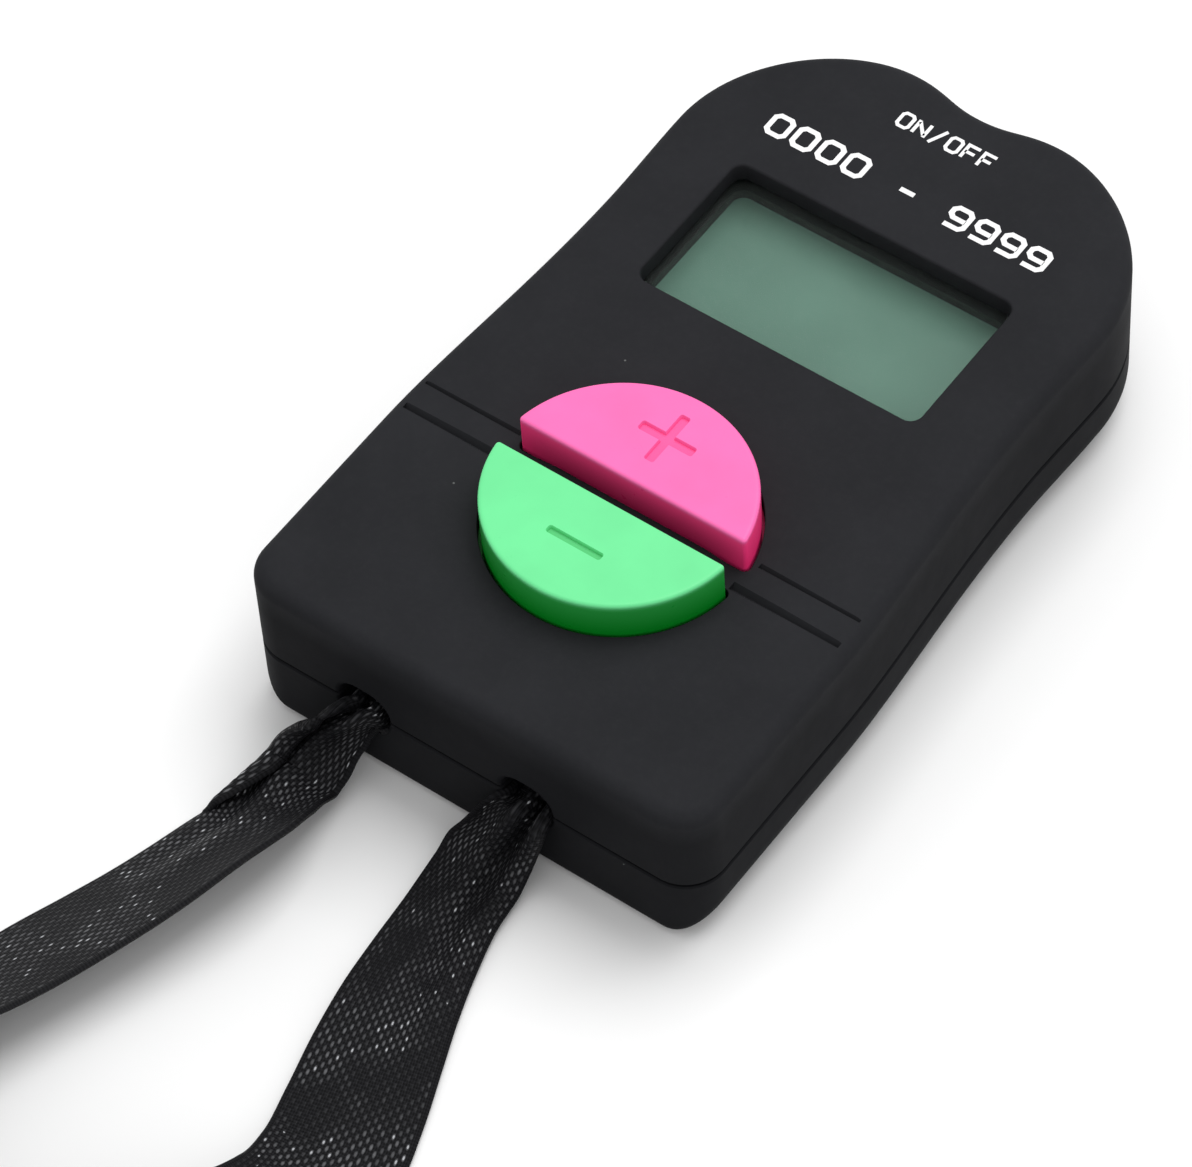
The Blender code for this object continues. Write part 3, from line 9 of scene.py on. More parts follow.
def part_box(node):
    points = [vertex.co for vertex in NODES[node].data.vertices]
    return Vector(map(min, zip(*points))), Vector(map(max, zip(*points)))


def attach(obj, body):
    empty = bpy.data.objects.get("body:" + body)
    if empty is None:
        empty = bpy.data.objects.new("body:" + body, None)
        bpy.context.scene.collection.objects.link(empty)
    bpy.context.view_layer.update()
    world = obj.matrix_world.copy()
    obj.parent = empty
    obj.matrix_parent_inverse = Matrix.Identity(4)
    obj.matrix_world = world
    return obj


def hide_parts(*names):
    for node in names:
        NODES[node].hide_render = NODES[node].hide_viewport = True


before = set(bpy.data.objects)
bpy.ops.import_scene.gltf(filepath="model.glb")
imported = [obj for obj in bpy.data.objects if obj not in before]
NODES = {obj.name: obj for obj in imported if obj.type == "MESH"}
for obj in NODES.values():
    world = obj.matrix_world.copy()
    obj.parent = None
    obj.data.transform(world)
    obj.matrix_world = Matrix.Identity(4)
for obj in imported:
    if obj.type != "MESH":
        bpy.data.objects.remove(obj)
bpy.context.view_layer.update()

MM = 0.001
RIBBON_WIDTH = 10.0  # millimetres, like every size below
scene = bpy.context.scene


def box_mm(node):
    """A node's lowest and highest corner, in millimetres."""
    low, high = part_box(node)
    return np.array(low) / MM, np.array(high) / MM


# Camera, at the photograph's viewing angle: its place in millimetres, and the directions
# that point to the right and down in the picture

CAMERA_PLACE = (165.04, -217.04, 359.78)
CAMERA_RIGHT = (0.8073, 0.5884, -0.0448)
CAMERA_DOWN = (0.4518, -0.6651, -0.5946)
FOCAL_LENGTH_PX, FRAME_WIDTH_PX, SENSOR_WIDTH = 6079.7, 1192, 36.0


def make_camera():
    data = bpy.data.cameras.new("view")
    data.sensor_fit = "HORIZONTAL"
    data.sensor_width = SENSOR_WIDTH
    data.lens = FOCAL_LENGTH_PX / FRAME_WIDTH_PX * SENSOR_WIDTH
    data.clip_start = 0.01
    data.clip_end = 20
    camera = bpy.data.objects.new("view", data)
    right = Vector(CAMERA_RIGHT).normalized()
    down = Vector(CAMERA_DOWN)
    down = (down - right * down.dot(right)).normalized()
    back = right.cross(-down)
    rotation = Matrix((right, -down, back)).transposed().to_4x4()
    camera.matrix_world = Matrix.Translation(Vector(CAMERA_PLACE) * MM) @ rotation
    scene.collection.objects.link(camera)
    scene.camera = camera


make_camera()
scene.view_settings.view_transform = "Standard"


# Small tools: meshes in millimetres, lofts and cuts

def make_piece(name, data, look=None, body=None, replaced=(), smooth=38):
    """An object from a bmesh in millimetres, dressed if a material is given."""
    bmesh.ops.scale(data, vec=(MM, MM, MM), verts=data.verts)
    bmesh.ops.recalc_face_normals(data, faces=data.faces)
    mesh = bpy.data.meshes.new(name)
    data.to_mesh(mesh)
    data.free()
    made = bpy.data.objects.new(name, mesh)
    scene.collection.objects.link(made)
    if look:
        dress(made, look, body, replaced, smooth)
    return made


def dress(made, look, body, replaced=(), smooth=38):
    """Gives a piece its material, body and the solids it stands for, and smooths it.

    Edges that turn by more than smooth, in degrees, stay sharp.
    """
    made.data.materials.clear()
    made.data.materials.append(LOOKS[look])
    made.data.shade_smooth()
    made.data.set_sharp_from_angle(angle=math.radians(smooth))
    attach(made, body)
    if replaced:
        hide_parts(*replaced)


def carve(target, data, operation="DIFFERENCE"):
    """Cuts or adds the shape in data, and leaves no helper behind."""
    tool = make_piece("tool", data)
    modifier = target.modifiers.new("carve", "BOOLEAN")
    modifier.object = tool
    modifier.operation = operation
    modifier.solver = "EXACT"
    graph = bpy.context.evaluated_depsgraph_get()
    result = bpy.data.meshes.new_from_object(target.evaluated_get(graph))
    target.modifiers.clear()
    old = target.data
    target.data = result
    bpy.data.meshes.remove(old)
    mesh = tool.data
    bpy.data.objects.remove(tool)
    bpy.data.meshes.remove(mesh)


def loft(data, rings, closed=False):
    """A surface through rings of equal length, capped at its ends or joined into a loop."""
    rows = [[data.verts.new(point) for point in ring] for ring in rings]
    count = len(rows[0])
    following = rows[1:] + rows[:1] if closed else rows[1:]
    for lower, upper in zip(rows, following):
        for i in range(count):
            j = (i + 1) % count
            data.faces.new((lower[i], lower[j], upper[j], upper[i]))
    if not closed:
        data.faces.new(rows[0][::-1])
        data.faces.new(rows[-1])


def level(outline, z):
    """A flat outline's points at height z."""
    return [(x, y, z) for x, y in outline]


def prism(data, outline, low, high):
    """An upright solid with the same outline all the way, from height low to high."""
    loft(data, [level(outline, z) for z in (low, high)])


def block(data, low, high):
    """A box between two opposite corners."""
    corners = [(low[0], low[1]), (high[0], low[1]), (high[0], high[1]), (low[0], high[1])]
    prism(data, corners, low[2], high[2])


def rounded(centre, width, height, radius, steps=8):
    """A rectangle's outline with round corners."""
    points = []
    for k, (sx, sy) in enumerate(((1, 1), (-1, 1), (-1, -1), (1, -1))):
        cx = centre[0] + sx * (width / 2 - radius)
        cy = centre[1] + sy * (height / 2 - radius)
        for i in range(steps + 1):
            angle = math.pi / 2 * (k + i / steps)
            points.append((cx + radius * math.cos(angle), cy + radius * math.sin(angle)))
    return points


def circle(centre, radius, steps):
    angles = [2 * math.pi * i / steps for i in range(steps)]
    return [(centre[0] + radius * math.cos(a), centre[1] + radius * math.sin(a)) for a in angles]


def round_over(radius, steps, degrees=90):
    """Inset and depth along a rounded edge, from the wall to the face."""
    made = []
    for i in range(steps + 1):
        angle = math.radians(degrees) * i / steps
        made.append((radius * (1 - math.cos(angle)), radius * (1 - math.sin(angle))))
    return made


def turned(data, centre, profile, steps=32):
    """A solid of revolution about a vertical axis, its profile going up as (radius, z)."""
    loft(data, [level(circle(centre, radius, steps), z) for radius, z in profile])


def column(target, place, radius, low, high, steps, operation="UNION"):
    """Adds an upright round column to a piece, or drills one with DIFFERENCE."""
    data = bmesh.new()
    prism(data, circle(place, radius, steps), low, high)
    carve(target, data, operation)


def mirrored(place):
    """A place and its mirror image across the counter's middle line."""
    return [(place[0], place[1]), (-place[0], place[1])]


# Materials

class Look:
    """A node material built around one Principled shader, with textures in millimetres."""

    def __init__(self, name, colour, roughness, metallic=0.0):
        self.material = bpy.data.materials.new(name)
        self.material.use_nodes = True
        self.tree = self.material.node_tree
        self.shader = self.tree.nodes["Principled BSDF"]
        self.shader.inputs["Base Color"].default_value = (*colour, 1)
        self.shader.inputs["Roughness"].default_value = roughness
        self.shader.inputs["Metallic"].default_value = metallic

    def set(self, **values):
        """Sets the shader's own inputs, which are named with _ for each space."""
        for key, value in values.items():
            self.shader.inputs[key.replace("_", " ")].default_value = value

    def node(self, kind, **settings):
        made = self.tree.nodes.new(kind)
        for key, value in settings.items():
            setattr(made, key, value)
        return made

    def link(self, source, target):
        self.tree.links.new(source, target)

    def position(self, scale=(1, 1, 1)):
        """The surface's own coordinates in millimetres, stretched by scale."""
        coordinates = self.node("ShaderNodeTexCoord")
        mapping = self.node("ShaderNodeMapping")
        mapping.inputs["Scale"].default_value = [s / MM for s in scale]
        self.link(coordinates.outputs["Object"], mapping.inputs["Vector"])
        return mapping.outputs["Vector"]

    def noise(self, size, detail=3, rough=0.55, stretch=(1, 1, 1)):
        """Noise with features of about that size in millimetres."""
        made = self.node("ShaderNodeTexNoise")
        made.inputs["Scale"].default_value = 1.0 / size
        made.inputs["Detail"].default_value = detail
        made.inputs["Roughness"].default_value = rough
        self.link(self.position(stretch), made.inputs["Vector"])
        return made.outputs["Fac"]

    def height(self, stops):
        """Shades by height in millimetres above the floor."""
        split = self.node("ShaderNodeSeparateXYZ")
        self.link(self.position(), split.inputs["Vector"])
        top = stops[-1][0]
        share = self.math("DIVIDE", split.outputs["Z"], top, True)
        return self.ramp(share, [(z / top, shade) for z, shade in stops])

    def ramp(self, value, stops):
        """A colour ramp. Each stop is a position with a colour or a shade of grey."""
        made = self.node("ShaderNodeValToRGB")
        elements = made.color_ramp.elements
        while len(elements) < len(stops):
            elements.new(0.5)
        for element, (at, colour) in zip(elements, stops):
            element.position = at
            if not isinstance(colour, (tuple, list)):
                colour = (colour, colour, colour)
            element.color = (*colour, 1)
        self.link(value, made.inputs["Fac"])
        return made.outputs["Color"]

    def math(self, operation, a, b=None, clamp=False):
        """One step of arithmetic on one or two values, each a number or a node's output."""
        made = self.node("ShaderNodeMath", operation=operation, use_clamp=clamp)
        for socket, value in zip(made.inputs, (a, b)):
            if value is None:
                continue
            if isinstance(value, (int, float)):
                socket.default_value = value
            else:
                self.link(value, socket)
        return made.outputs[0]

    def mix(self, share, a, b, blend="MIX"):
        """Colour a, with that share of colour b."""
        made = self.node("ShaderNodeMix", data_type="RGBA", blend_type=blend)
        for socket, value in ((made.inputs[0], share), (made.inputs[6], a), (made.inputs[7], b)):
            if isinstance(value, (int, float)):
                socket.default_value = value
            elif isinstance(value, (tuple, list)):
                socket.default_value = (*value, 1)
            else:
                self.link(value, socket)
        return made.outputs[2]

    def paint(self, colour):
        self.link(colour, self.shader.inputs["Base Color"])

    def roughen(self, value):
        self.link(value, self.shader.inputs["Roughness"])

    def bump(self, height, strength, distance):
        """Relief of that depth in millimetres."""
        made = self.node("ShaderNodeBump")
        made.inputs["Strength"].default_value = strength
        made.inputs["Distance"].default_value = distance * MM
        self.link(height, made.inputs["Height"])
        self.link(made.outputs["Normal"], self.shader.inputs["Normal"])


def shades(colour, amount):
    """Two tints of a colour, darker and lighter by that share."""
    return [tuple(min(1, c * (1 - amount)) for c in colour),
            tuple(min(1, c * (1 + amount)) for c in colour)]


def plain_look(name, colour, roughness, metallic=0.0, grain=0.4, variation=0.12, relief=0.02,
               stretch=(1, 1, 1), patch=4.0):
    """A worked surface: patches of slightly different tint, uneven gloss and fine relief."""
    look = Look(name, colour, roughness, metallic)
    dark, light = shades(colour, variation)
    look.paint(look.ramp(look.noise(patch, 4, 0.6, stretch), [(0.3, dark), (0.7, light)]))
    gloss = look.noise(patch * 0.6, 5, 0.6, stretch)
    look.roughen(look.ramp(gloss, [(0.3, roughness * 0.85), (0.7, min(1, roughness * 1.15))]))
    look.bump(look.noise(grain, 3, 0.6, stretch), 0.5, relief)
    return look


def dust_specks(look):
    """Where dust lies: small specks, some millimetres apart, in some regions only."""
    spacing, share = 4.2, 0.022
    specks = look.node("ShaderNodeTexVoronoi", feature="F1")
    specks.inputs["Scale"].default_value = 1 / spacing
    specks.inputs["Randomness"].default_value = 1.0
    look.link(look.position(), specks.inputs["Vector"])
    near = look.math("LESS_THAN", specks.outputs["Distance"], share)
    dusty = look.math("GREATER_THAN", look.noise(9.0, 2, 0.5), 0.56)
    return look.math("MULTIPLY", near, dusty)


def body_look():
    """Soft-touch black plastic: fine grain, faint bloom, side walls darkened by painted shade, a
    little dust.
    """
    base = (0.0205, 0.021, 0.0235)
    # Painted shade: the side walls between the underside and the face are darkened by height.
    side_wall_shade = [(0.0, 1.0), (1.2, 0.55), (11.5, 0.55), (14.4, 1.0)]
    look = Look("soft_touch_black", base, 0.55)
    dark, light = shades(base, 0.1)
    tint = look.ramp(look.noise(9.0, 4, 0.6), [(0.3, dark), (0.72, light)])
    bloom = look.ramp(look.noise(0.5, 4, 0.7), [(0.45, 0.0), (0.9, 0.003)])
    tint = look.mix(1.0, tint, bloom, "ADD")
    tint = look.mix(1.0, tint, look.height(side_wall_shade), "MULTIPLY")
    look.paint(look.mix(dust_specks(look), tint, (0.11, 0.115, 0.115)))
    look.roughen(look.ramp(look.noise(2.4, 5, 0.65), [(0.3, 0.54), (0.72, 0.62)]))
    look.bump(look.noise(0.16, 3, 0.7), 0.3, 0.012)
    look.set(Specular_IOR_Level=0.02)
    return look


def key_look(name, colour, painted_shade_colour):
    """Moulded satin key: one colour on its top, and a deeper one painted down its walls and on its
    sunk sign's floor as painted shade.
    """
    look = Look(name, colour, 0.33)
    dark = shades(colour, 0.05)[0]
    light = shades(colour, 0.04)[1]
    tint = look.ramp(look.noise(5.0, 3, 0.5), [(0.3, dark), (0.7, light)])
    # Painted shade: by height, the walls and the sunk sign's floor are mixed towards the deeper
    # colour.
    wall = look.height([
        (14.9, 1.0), (17.3, 0.88), (17.55, 0.7), (17.63, 0.4), (17.68, 0.35), (17.84, 0.0),
        (17.95, 0.0),
    ])
    look.paint(look.mix(wall, tint, painted_shade_colour))
    look.roughen(look.ramp(look.noise(1.3, 4, 0.6), [(0.3, 0.27), (0.72, 0.38)]))
    look.bump(look.noise(0.22, 3, 0.6), 0.25, 0.012)
    look.set(Specular_IOR_Level=0.2)
    return look


def lcd_look():
    """Unlit display: grey-green polariser with a faint grain and drift in tint."""
    base = (0.106, 0.205, 0.158)
    look = Look("lcd_grey_green", base, 0.22)
    dark, light = shades(base, 0.07)
    look.paint(look.ramp(look.noise(8.0, 3, 0.5), [(0.3, dark), (0.7, light)]))
    look.roughen(look.ramp(look.noise(0.5, 4, 0.6), [(0.3, 0.2), (0.7, 0.3)]))
    look.bump(look.noise(0.3, 2, 0.6), 0.08, 0.004)
    look.set(Specular_IOR_Level=0.1)
    return look


def clear_look():
    """The clear window: a thin sheet that shows what is under it and catches the light."""
    look = Look("clear_window", (0.3, 0.38, 0.34), 0.06)
    look.roughen(look.ramp(look.noise(3.0, 4, 0.6, (1, 3, 1)), [(0.35, 0.04), (0.8, 0.1)]))
    look.set(Alpha=0.03, Specular_IOR_Level=0.35)
    return look


def ribbon_dashes(look, along, across):
    """Staggered rows of thread floats: how far from each float's centre, and a random value."""
    dash_pitch, half_dash = 0.86, 0.36
    row_pitch, half_row = 0.4, 0.34
    row = look.math("DIVIDE", across, row_pitch)
    half_step = look.math("FRACT", look.math("MULTIPLY", look.math("FLOOR", row), 0.5))
    step = look.math("ADD", look.math("DIVIDE", along, dash_pitch), half_step)
    cell = look.node("ShaderNodeCombineXYZ")
    look.link(look.math("FLOOR", step), cell.inputs["X"])
    look.link(look.math("FLOOR", row), cell.inputs["Y"])
    chance = look.node("ShaderNodeTexWhiteNoise", noise_dimensions="2D")
    look.link(cell.outputs[0], chance.inputs["Vector"])
    reaches = []
    for place, half in ((step, half_dash), (row, half_row)):
        off = look.math("ABSOLUTE", look.math("SUBTRACT", look.math("FRACT", place), 0.5))
        reaches.append(look.math("POWER", look.math("DIVIDE", off, half), 2.0))
    return look.math("ADD", *reaches), chance.outputs["Value"]


def ribbon_weave(look, along, across):
    """Fine ribs and warp threads between the floats, as a wave round zero."""
    waves = []
    for place, pitch in ((along, 0.29), (across, 0.2)):
        wave = look.math("SINE", look.math("MULTIPLY", place, 2 * math.pi / pitch))
        waves.append(look.math("MULTIPLY", wave, 0.25))
    return look.math("ADD", *waves)


def ribbon_look():
    """Woven ribbon, with painted sheen and painted glints on its floats. The mesh carries the
    cloth's own millimetres: along and across.
    """
    look = Look("woven_ribbon", (0.018, 0.018, 0.02), 0.55)
    cloth = look.node("ShaderNodeAttribute", attribute_name="cloth")
    split = look.node("ShaderNodeSeparateXYZ")
    look.link(cloth.outputs["Vector"], split.inputs["Vector"])
    along, across = split.outputs["X"], split.outputs["Y"]
    reach, luck = ribbon_dashes(look, along, across)
    inside = look.math("LESS_THAN", look.math("ABSOLUTE", across), RIBBON_WIDTH / 2 - 0.25)
    dash = look.math("MULTIPLY", look.math("SUBTRACT", 1.0, reach, True), inside)

    # Painted sheen: patches where the floats catch the light, and painted glints on single floats
    patch = look.node("ShaderNodeTexNoise", noise_dimensions="2D")
    patch.inputs["Scale"].default_value = 0.16
    patch.inputs["Detail"].default_value = 3
    look.link(cloth.outputs["Vector"], patch.inputs["Vector"])
    lit = look.ramp(patch.outputs["Fac"], [(0.38, 0.12), (0.62, 1.0)])
    gloss = look.math("MULTIPLY", lit, look.math("ADD", look.math("MULTIPLY", luck, 0.8), 0.2))
    floats = look.math("MULTIPLY", dash, gloss)
    often = look.math("SUBTRACT", 1.02, look.math("MULTIPLY", lit, 0.12))
    glint = look.math("GREATER_THAN", luck, often)
    glint = look.math("MULTIPLY", glint, look.math("LESS_THAN", reach, 0.22))
    glint = look.math("MULTIPLY", glint, inside)

    weave = ribbon_weave(look, along, across)
    dark, light = (0.002, 0.002, 0.0024), (0.011, 0.011, 0.013)
    ground = look.ramp(look.math("ADD", weave, 0.5), [(0.1, dark), (0.9, light)])
    # The floats are woven; their lighter tint is painted sheen, and the glints are painted
    # highlights
    tint = look.mix(floats, ground, (0.15, 0.152, 0.16))
    look.paint(look.mix(glint, tint, (0.42, 0.43, 0.45)))
    look.roughen(look.ramp(dash, [(0.0, 0.62), (0.6, 0.36)]))
    look.bump(look.math("ADD", weave, look.math("MULTIPLY", dash, 0.9)), 0.6, 0.09)
    look.set(Specular_IOR_Level=0.1)
    return look


def print_look():
    """White printing ink, slightly uneven."""
    look = Look("white_print", (0.8, 0.8, 0.8), 0.45)
    look.paint(look.ramp(look.noise(0.5, 3, 0.6), [(0.3, 0.72), (0.6, 0.86)]))
    look.roughen(look.ramp(look.noise(1.1, 3, 0.6), [(0.3, 0.4), (0.7, 0.5)]))
    return look


def board_look():
    """Green solder mask over copper tracks."""
    look = Look("board_green", (0.02, 0.16, 0.07), 0.35)
    tracks = look.node("ShaderNodeTexWave", wave_type="BANDS", bands_direction="DIAGONAL")
    tracks.inputs["Scale"].default_value = 0.28
    tracks.inputs["Distortion"].default_value = 2.5
    tracks.inputs["Detail"].default_value = 0.0
    look.link(look.position(), tracks.inputs["Vector"])
    track = look.ramp(tracks.outputs["Fac"], [(0.78, 0.0), (0.82, 1.0)])
    look.paint(look.mix(track, (0.012, 0.12, 0.05), (0.03, 0.24, 0.1)))
    look.roughen(look.ramp(look.noise(1.5, 4, 0.6), [(0.3, 0.3), (0.7, 0.42)]))
    look.bump(track, 0.4, 0.03)
    return look


def floor_look():
    """Plain white studio paper."""
    look = Look("studio_paper", (0.9, 0.9, 0.9), 0.8)
    look.paint(look.ramp(look.noise(60, 3, 0.5), [(0.3, 0.89), (0.7, 0.91)]))
    return look


LOOKS = {
    "body": body_look(),
    # Each key's second colour is the painted shade on its walls and sunk sign.
    "pink": key_look("pink_key", (0.93, 0.15, 0.43), (1.0, 0.035, 0.2)),
    "green": key_look("green_key", (0.148, 0.72, 0.29), (0.002, 0.24, 0.016)),
    "gasket": plain_look("gasket_black", (0.008, 0.008, 0.009), 0.6, grain=0.3, relief=0.01),
    "dark_button": plain_look("reset_grey", (0.05, 0.05, 0.055), 0.45, grain=0.2, relief=0.015),
    "clear": clear_look(),
    "lcd": lcd_look(),
    "silicone": plain_look("silicone", (0.55, 0.56, 0.55), 0.6, grain=0.6, relief=0.02),
    "foil": plain_look("reflector_foil", (0.7, 0.72, 0.7), 0.35, 0.8, grain=0.8, relief=0.02),
    "white": plain_look("white_moulding", (0.75, 0.75, 0.73), 0.45, grain=0.5, variation=0.04),
    "board": board_look(),
    "epoxy": plain_look("black_epoxy", (0.012, 0.012, 0.012), 0.3, grain=0.9, relief=0.04),
    "ceramic": plain_look("ceramic", (0.4, 0.27, 0.15), 0.5, grain=0.2),
    "carbon": plain_look("carbon", (0.02, 0.02, 0.02), 0.7, grain=0.15, relief=0.03),
    "steel": plain_look("steel", (0.62, 0.62, 0.6), 0.26, 1.0, grain=0.12, variation=0.06,
                        stretch=(1, 1, 0.2), patch=2.5),
    "spring_steel": plain_look("spring_steel", (0.66, 0.6, 0.45), 0.28, 1.0, grain=0.15,
                               variation=0.06, stretch=(0.2, 1, 1), patch=2.5),
    "ribbon": ribbon_look(),
    "tie": plain_look("soft_tie", (0.05, 0.05, 0.055), 0.6, grain=0.3, relief=0.03),
    "print": print_look(),
    "floor": floor_look(),
}
LOOKS = {name: look.material for name, look in LOOKS.items()}


# The counter's sizes in millimetres, as in the solids, but for the slots' base, which follows
# the photograph. GAP is the clearance between parts.

GAP = 0.3
BODY_LENGTH = 66.15
END_Y, LOBE_Y = -BODY_LENGTH / 2, BODY_LENGTH / 2
HEAD_HALF_WIDTH, HEAD_WIDEST_Y = 19.05, 19.9
WAIST_HALF_WIDTH, WAIST_Y = 18.8, 10.4
HIP_HALF_WIDTH, HIP_Y = 20.1, -15.6
CORNER_RADIUS = 3.3
LOBE_X = 6.4
NOTCH_Y = LOBE_Y - 0.95
FACE_Z = 14.7
WALL, FACE_THICKNESS, FLOOR_THICKNESS = 1.7, 1.6, 1.6
CEILING_Z = FACE_Z - FACE_THICKNESS
SEAM_Z, SEAM_GAP, SEAM_LIP = 6.5, 0.3, 0.12
FRONT_EDGE_RADIUS, REAR_END_RADIUS, REAR_SIDE_RADIUS = 1.25, 1.1, 3.9

WINDOW_WIDTH, WINDOW_HEIGHT, WINDOW_Y, WINDOW_CORNER = 24.8, 13.2, 11.6, 1.0
KEY_RADIUS, KEY_CENTRE_Y = 10.05, -13.87
PLUS_EDGE_Y, MINUS_EDGE_Y = -12.49, -14.85
KEY_TOP_Z = box_mm("plus_key")[1][2]
KEY_CORNER, KEY_EDGE_ROUND = 0.3, 0.28
KEY_FLANGE, KEY_STEM_RADIUS = 0.7, 2.2
WELL_GAP, WELL_LIP, WINDOW_LIP = 0.22, 0.08, 0.22
SIGN_LENGTH, PLUS_WIDTH, MINUS_WIDTH, SIGN_DEPTH = 4.7, 0.8, 0.62, 0.3
PLUS_SIGN_Y, MINUS_SIGN_Y = -8.0, -19.2
BAR_RISE = 0.35
# Each groove's place, how far from the middle it starts, its width and its depth
GROOVES = ((-11.6, 10.5, 0.35, 0.3), (-14.15, 9.85, 0.6, 0.45))
RESET_WIDTH, RESET_HEIGHT, RESET_Z = 6.8, 3.0, 10.5
SLOT_WIDTH, SLOT_REACH, LEFT_SLOT_X, RIGHT_SLOT_X = 4.5, 2.9, -9.2, 5.2
SLOT_BASE_Z, SLOT_TOP_Z, SLOT_CORNER, SLOT_LIP = 4.6, 8.6, 1.8, 0.35
# Columns for the shells' screws and for the board's screws, and the bores in them
BOSSES = mirrored((10.9, 24.9)) + mirrored((14.6, -26.6))
BOSS_RADIUS, BOSS_BORE = 2.4, 1.1
SCREW_HEAD_BORE, SCREW_HEAD_Z = 1.8, 2.4
POSTS = mirrored((13.4, -1.2)) + mirrored((13.0, -20.4))
POST_RADIUS, POST_BORE, POST_LOW_Z = 1.8, 1.0, 8.7
BORE_TOP_Z = 11.9
COVER_LOW, COVER_HIGH = box_mm("battery_cover")
COVER_CORNER, COVER_LEDGE = 1.5, 1.7
COVER_LEDGE_TOP_Z, COLUMN_LOW_Z = 2.6, 0.8
# The round walls behind the cover, for the cell and the cover's screw: place, wall, bore
CELL_WALLS = (((0, 9.0), 7.1, 6.1), ((0, -1.2), 1.8, 1.0))
CELL_WALL_Z, CELL_BORE_Z = (2.1, 6.2), (0.6, 7.2)
# Room for the contact that touches the cell's side, from corner to corner
CONTACT_ROOM = (4.8, 7.2, 2.6), (8.1, 10.8, 7.2)


# The counter's outline

def bezier(start, first, second, end, steps):
    """Points along a cubic curve, without its last one."""
    made = []
    for i in range(steps):
        t = i / steps
        weights = ((1 - t) ** 3, 3 * t * (1 - t) ** 2, 3 * t * t * (1 - t), t ** 3)
        made.append(tuple(
            sum(w * p[k] for w, p in zip(weights, (start, first, second, end)))
            for k in range(2)
        ))
    return made


def body_outline():
    """The outline seen from above: notch, lobe, head, waist, hip and corner."""
    head, waist = (HEAD_HALF_WIDTH, HEAD_WIDEST_Y), (WAIST_HALF_WIDTH, WAIST_Y)
    hip, lobe = (HIP_HALF_WIDTH, HIP_Y), (LOBE_X, LOBE_Y)
    neck = (HEAD_WIDEST_Y - WAIST_Y) / 3
    swell = (WAIST_Y - HIP_Y) * 0.4
    half = bezier((0, NOTCH_Y), (LOBE_X * 0.42, NOTCH_Y), (LOBE_X * 0.55, LOBE_Y), lobe, 18)
    half += bezier(
        lobe,
        (lobe[0] + (HEAD_HALF_WIDTH - LOBE_X) * 0.49, LOBE_Y),
        (HEAD_HALF_WIDTH, HEAD_WIDEST_Y + (LOBE_Y - HEAD_WIDEST_Y) * 0.53),
        head,
        32,
    )
    half += bezier(head, (head[0], head[1] - neck), (waist[0], waist[1] + neck), waist, 10)
    half += bezier(waist, (waist[0], waist[1] - swell), (hip[0], hip[1] + swell * 0.75), hip, 22)
    half += [hip, (HIP_HALF_WIDTH, (HIP_Y + END_Y + CORNER_RADIUS) / 2)]
    for inset, depth in round_over(CORNER_RADIUS, 14):
        half.append((HIP_HALF_WIDTH - inset, END_Y + depth))
    half += [(x, END_Y) for x in (12.0, 6.0, 0.0)]
    return half + [(-x, y) for x, y in half[-2:0:-1]]


def outward(outline):
    """The outward direction at each point of an outline that runs clockwise."""
    ahead = np.roll(outline, -1, axis=0) - np.roll(outline, 1, axis=0)
    normals = np.stack([-ahead[:, 1], ahead[:, 0]], axis=1)
    return normals / np.linalg.norm(normals, axis=1)[:, None]


OUTLINE = np.array(body_outline())
NORMALS = outward(OUTLINE)


def ring(inset, z):
    """The outline moved in by inset, at height z. Both may vary round it."""
    flat = OUTLINE - NORMALS * np.broadcast_to(inset, len(OUTLINE))[:, None]
    heights = np.broadcast_to(z, len(OUTLINE))
    return [(x, y, h) for (x, y), h in zip(flat, heights)]


def edge_rings(radius, level, way):
    """Rings round an outer edge, from the side wall to the face at level."""
    rings = [ring(inset, level - way * depth) for inset, depth in round_over(radius, 10)]
    return rings + [ring(radius + 0.25, level)]


def flare(lip):
    """Offset and depth along a mouth that opens in a small round lip, from inside outwards."""
    return round_over(lip, 5, 84) + [(lip, -2)]


def cut_opening(housing, outline_at, lip):
    """A flared opening through the face. outline_at gives its outline by how far it is grown."""
    rings = [(0, CEILING_Z - 1)] + [(offset, FACE_Z - depth) for offset, depth in flare(lip)]
    cut = bmesh.new()
    loft(cut, [level(outline_at(offset), z) for offset, z in rings])
    carve(housing, cut)


def cut_slots(housing):
    """The two rounded openings for the ribbon in the end wall, across the seam."""
    height = SLOT_TOP_Z - SLOT_BASE_Z
    steps = [(0, END_Y + SLOT_REACH)]
    steps += [(offset, END_Y + depth) for offset, depth in flare(SLOT_LIP)]
    for slot_x in (LEFT_SLOT_X, RIGHT_SLOT_X):
        centre = (slot_x, SLOT_BASE_Z + height / 2)
        rings = []
        for offset, y in steps:
            outline = rounded(centre, SLOT_WIDTH + 2 * offset, height + 2 * offset,
                              SLOT_CORNER + offset)
            rings.append([(x, y, z) for x, z in outline])
        mouth = bmesh.new()
        loft(mouth, rings)
        carve(housing, mouth)


# Keys and their wells

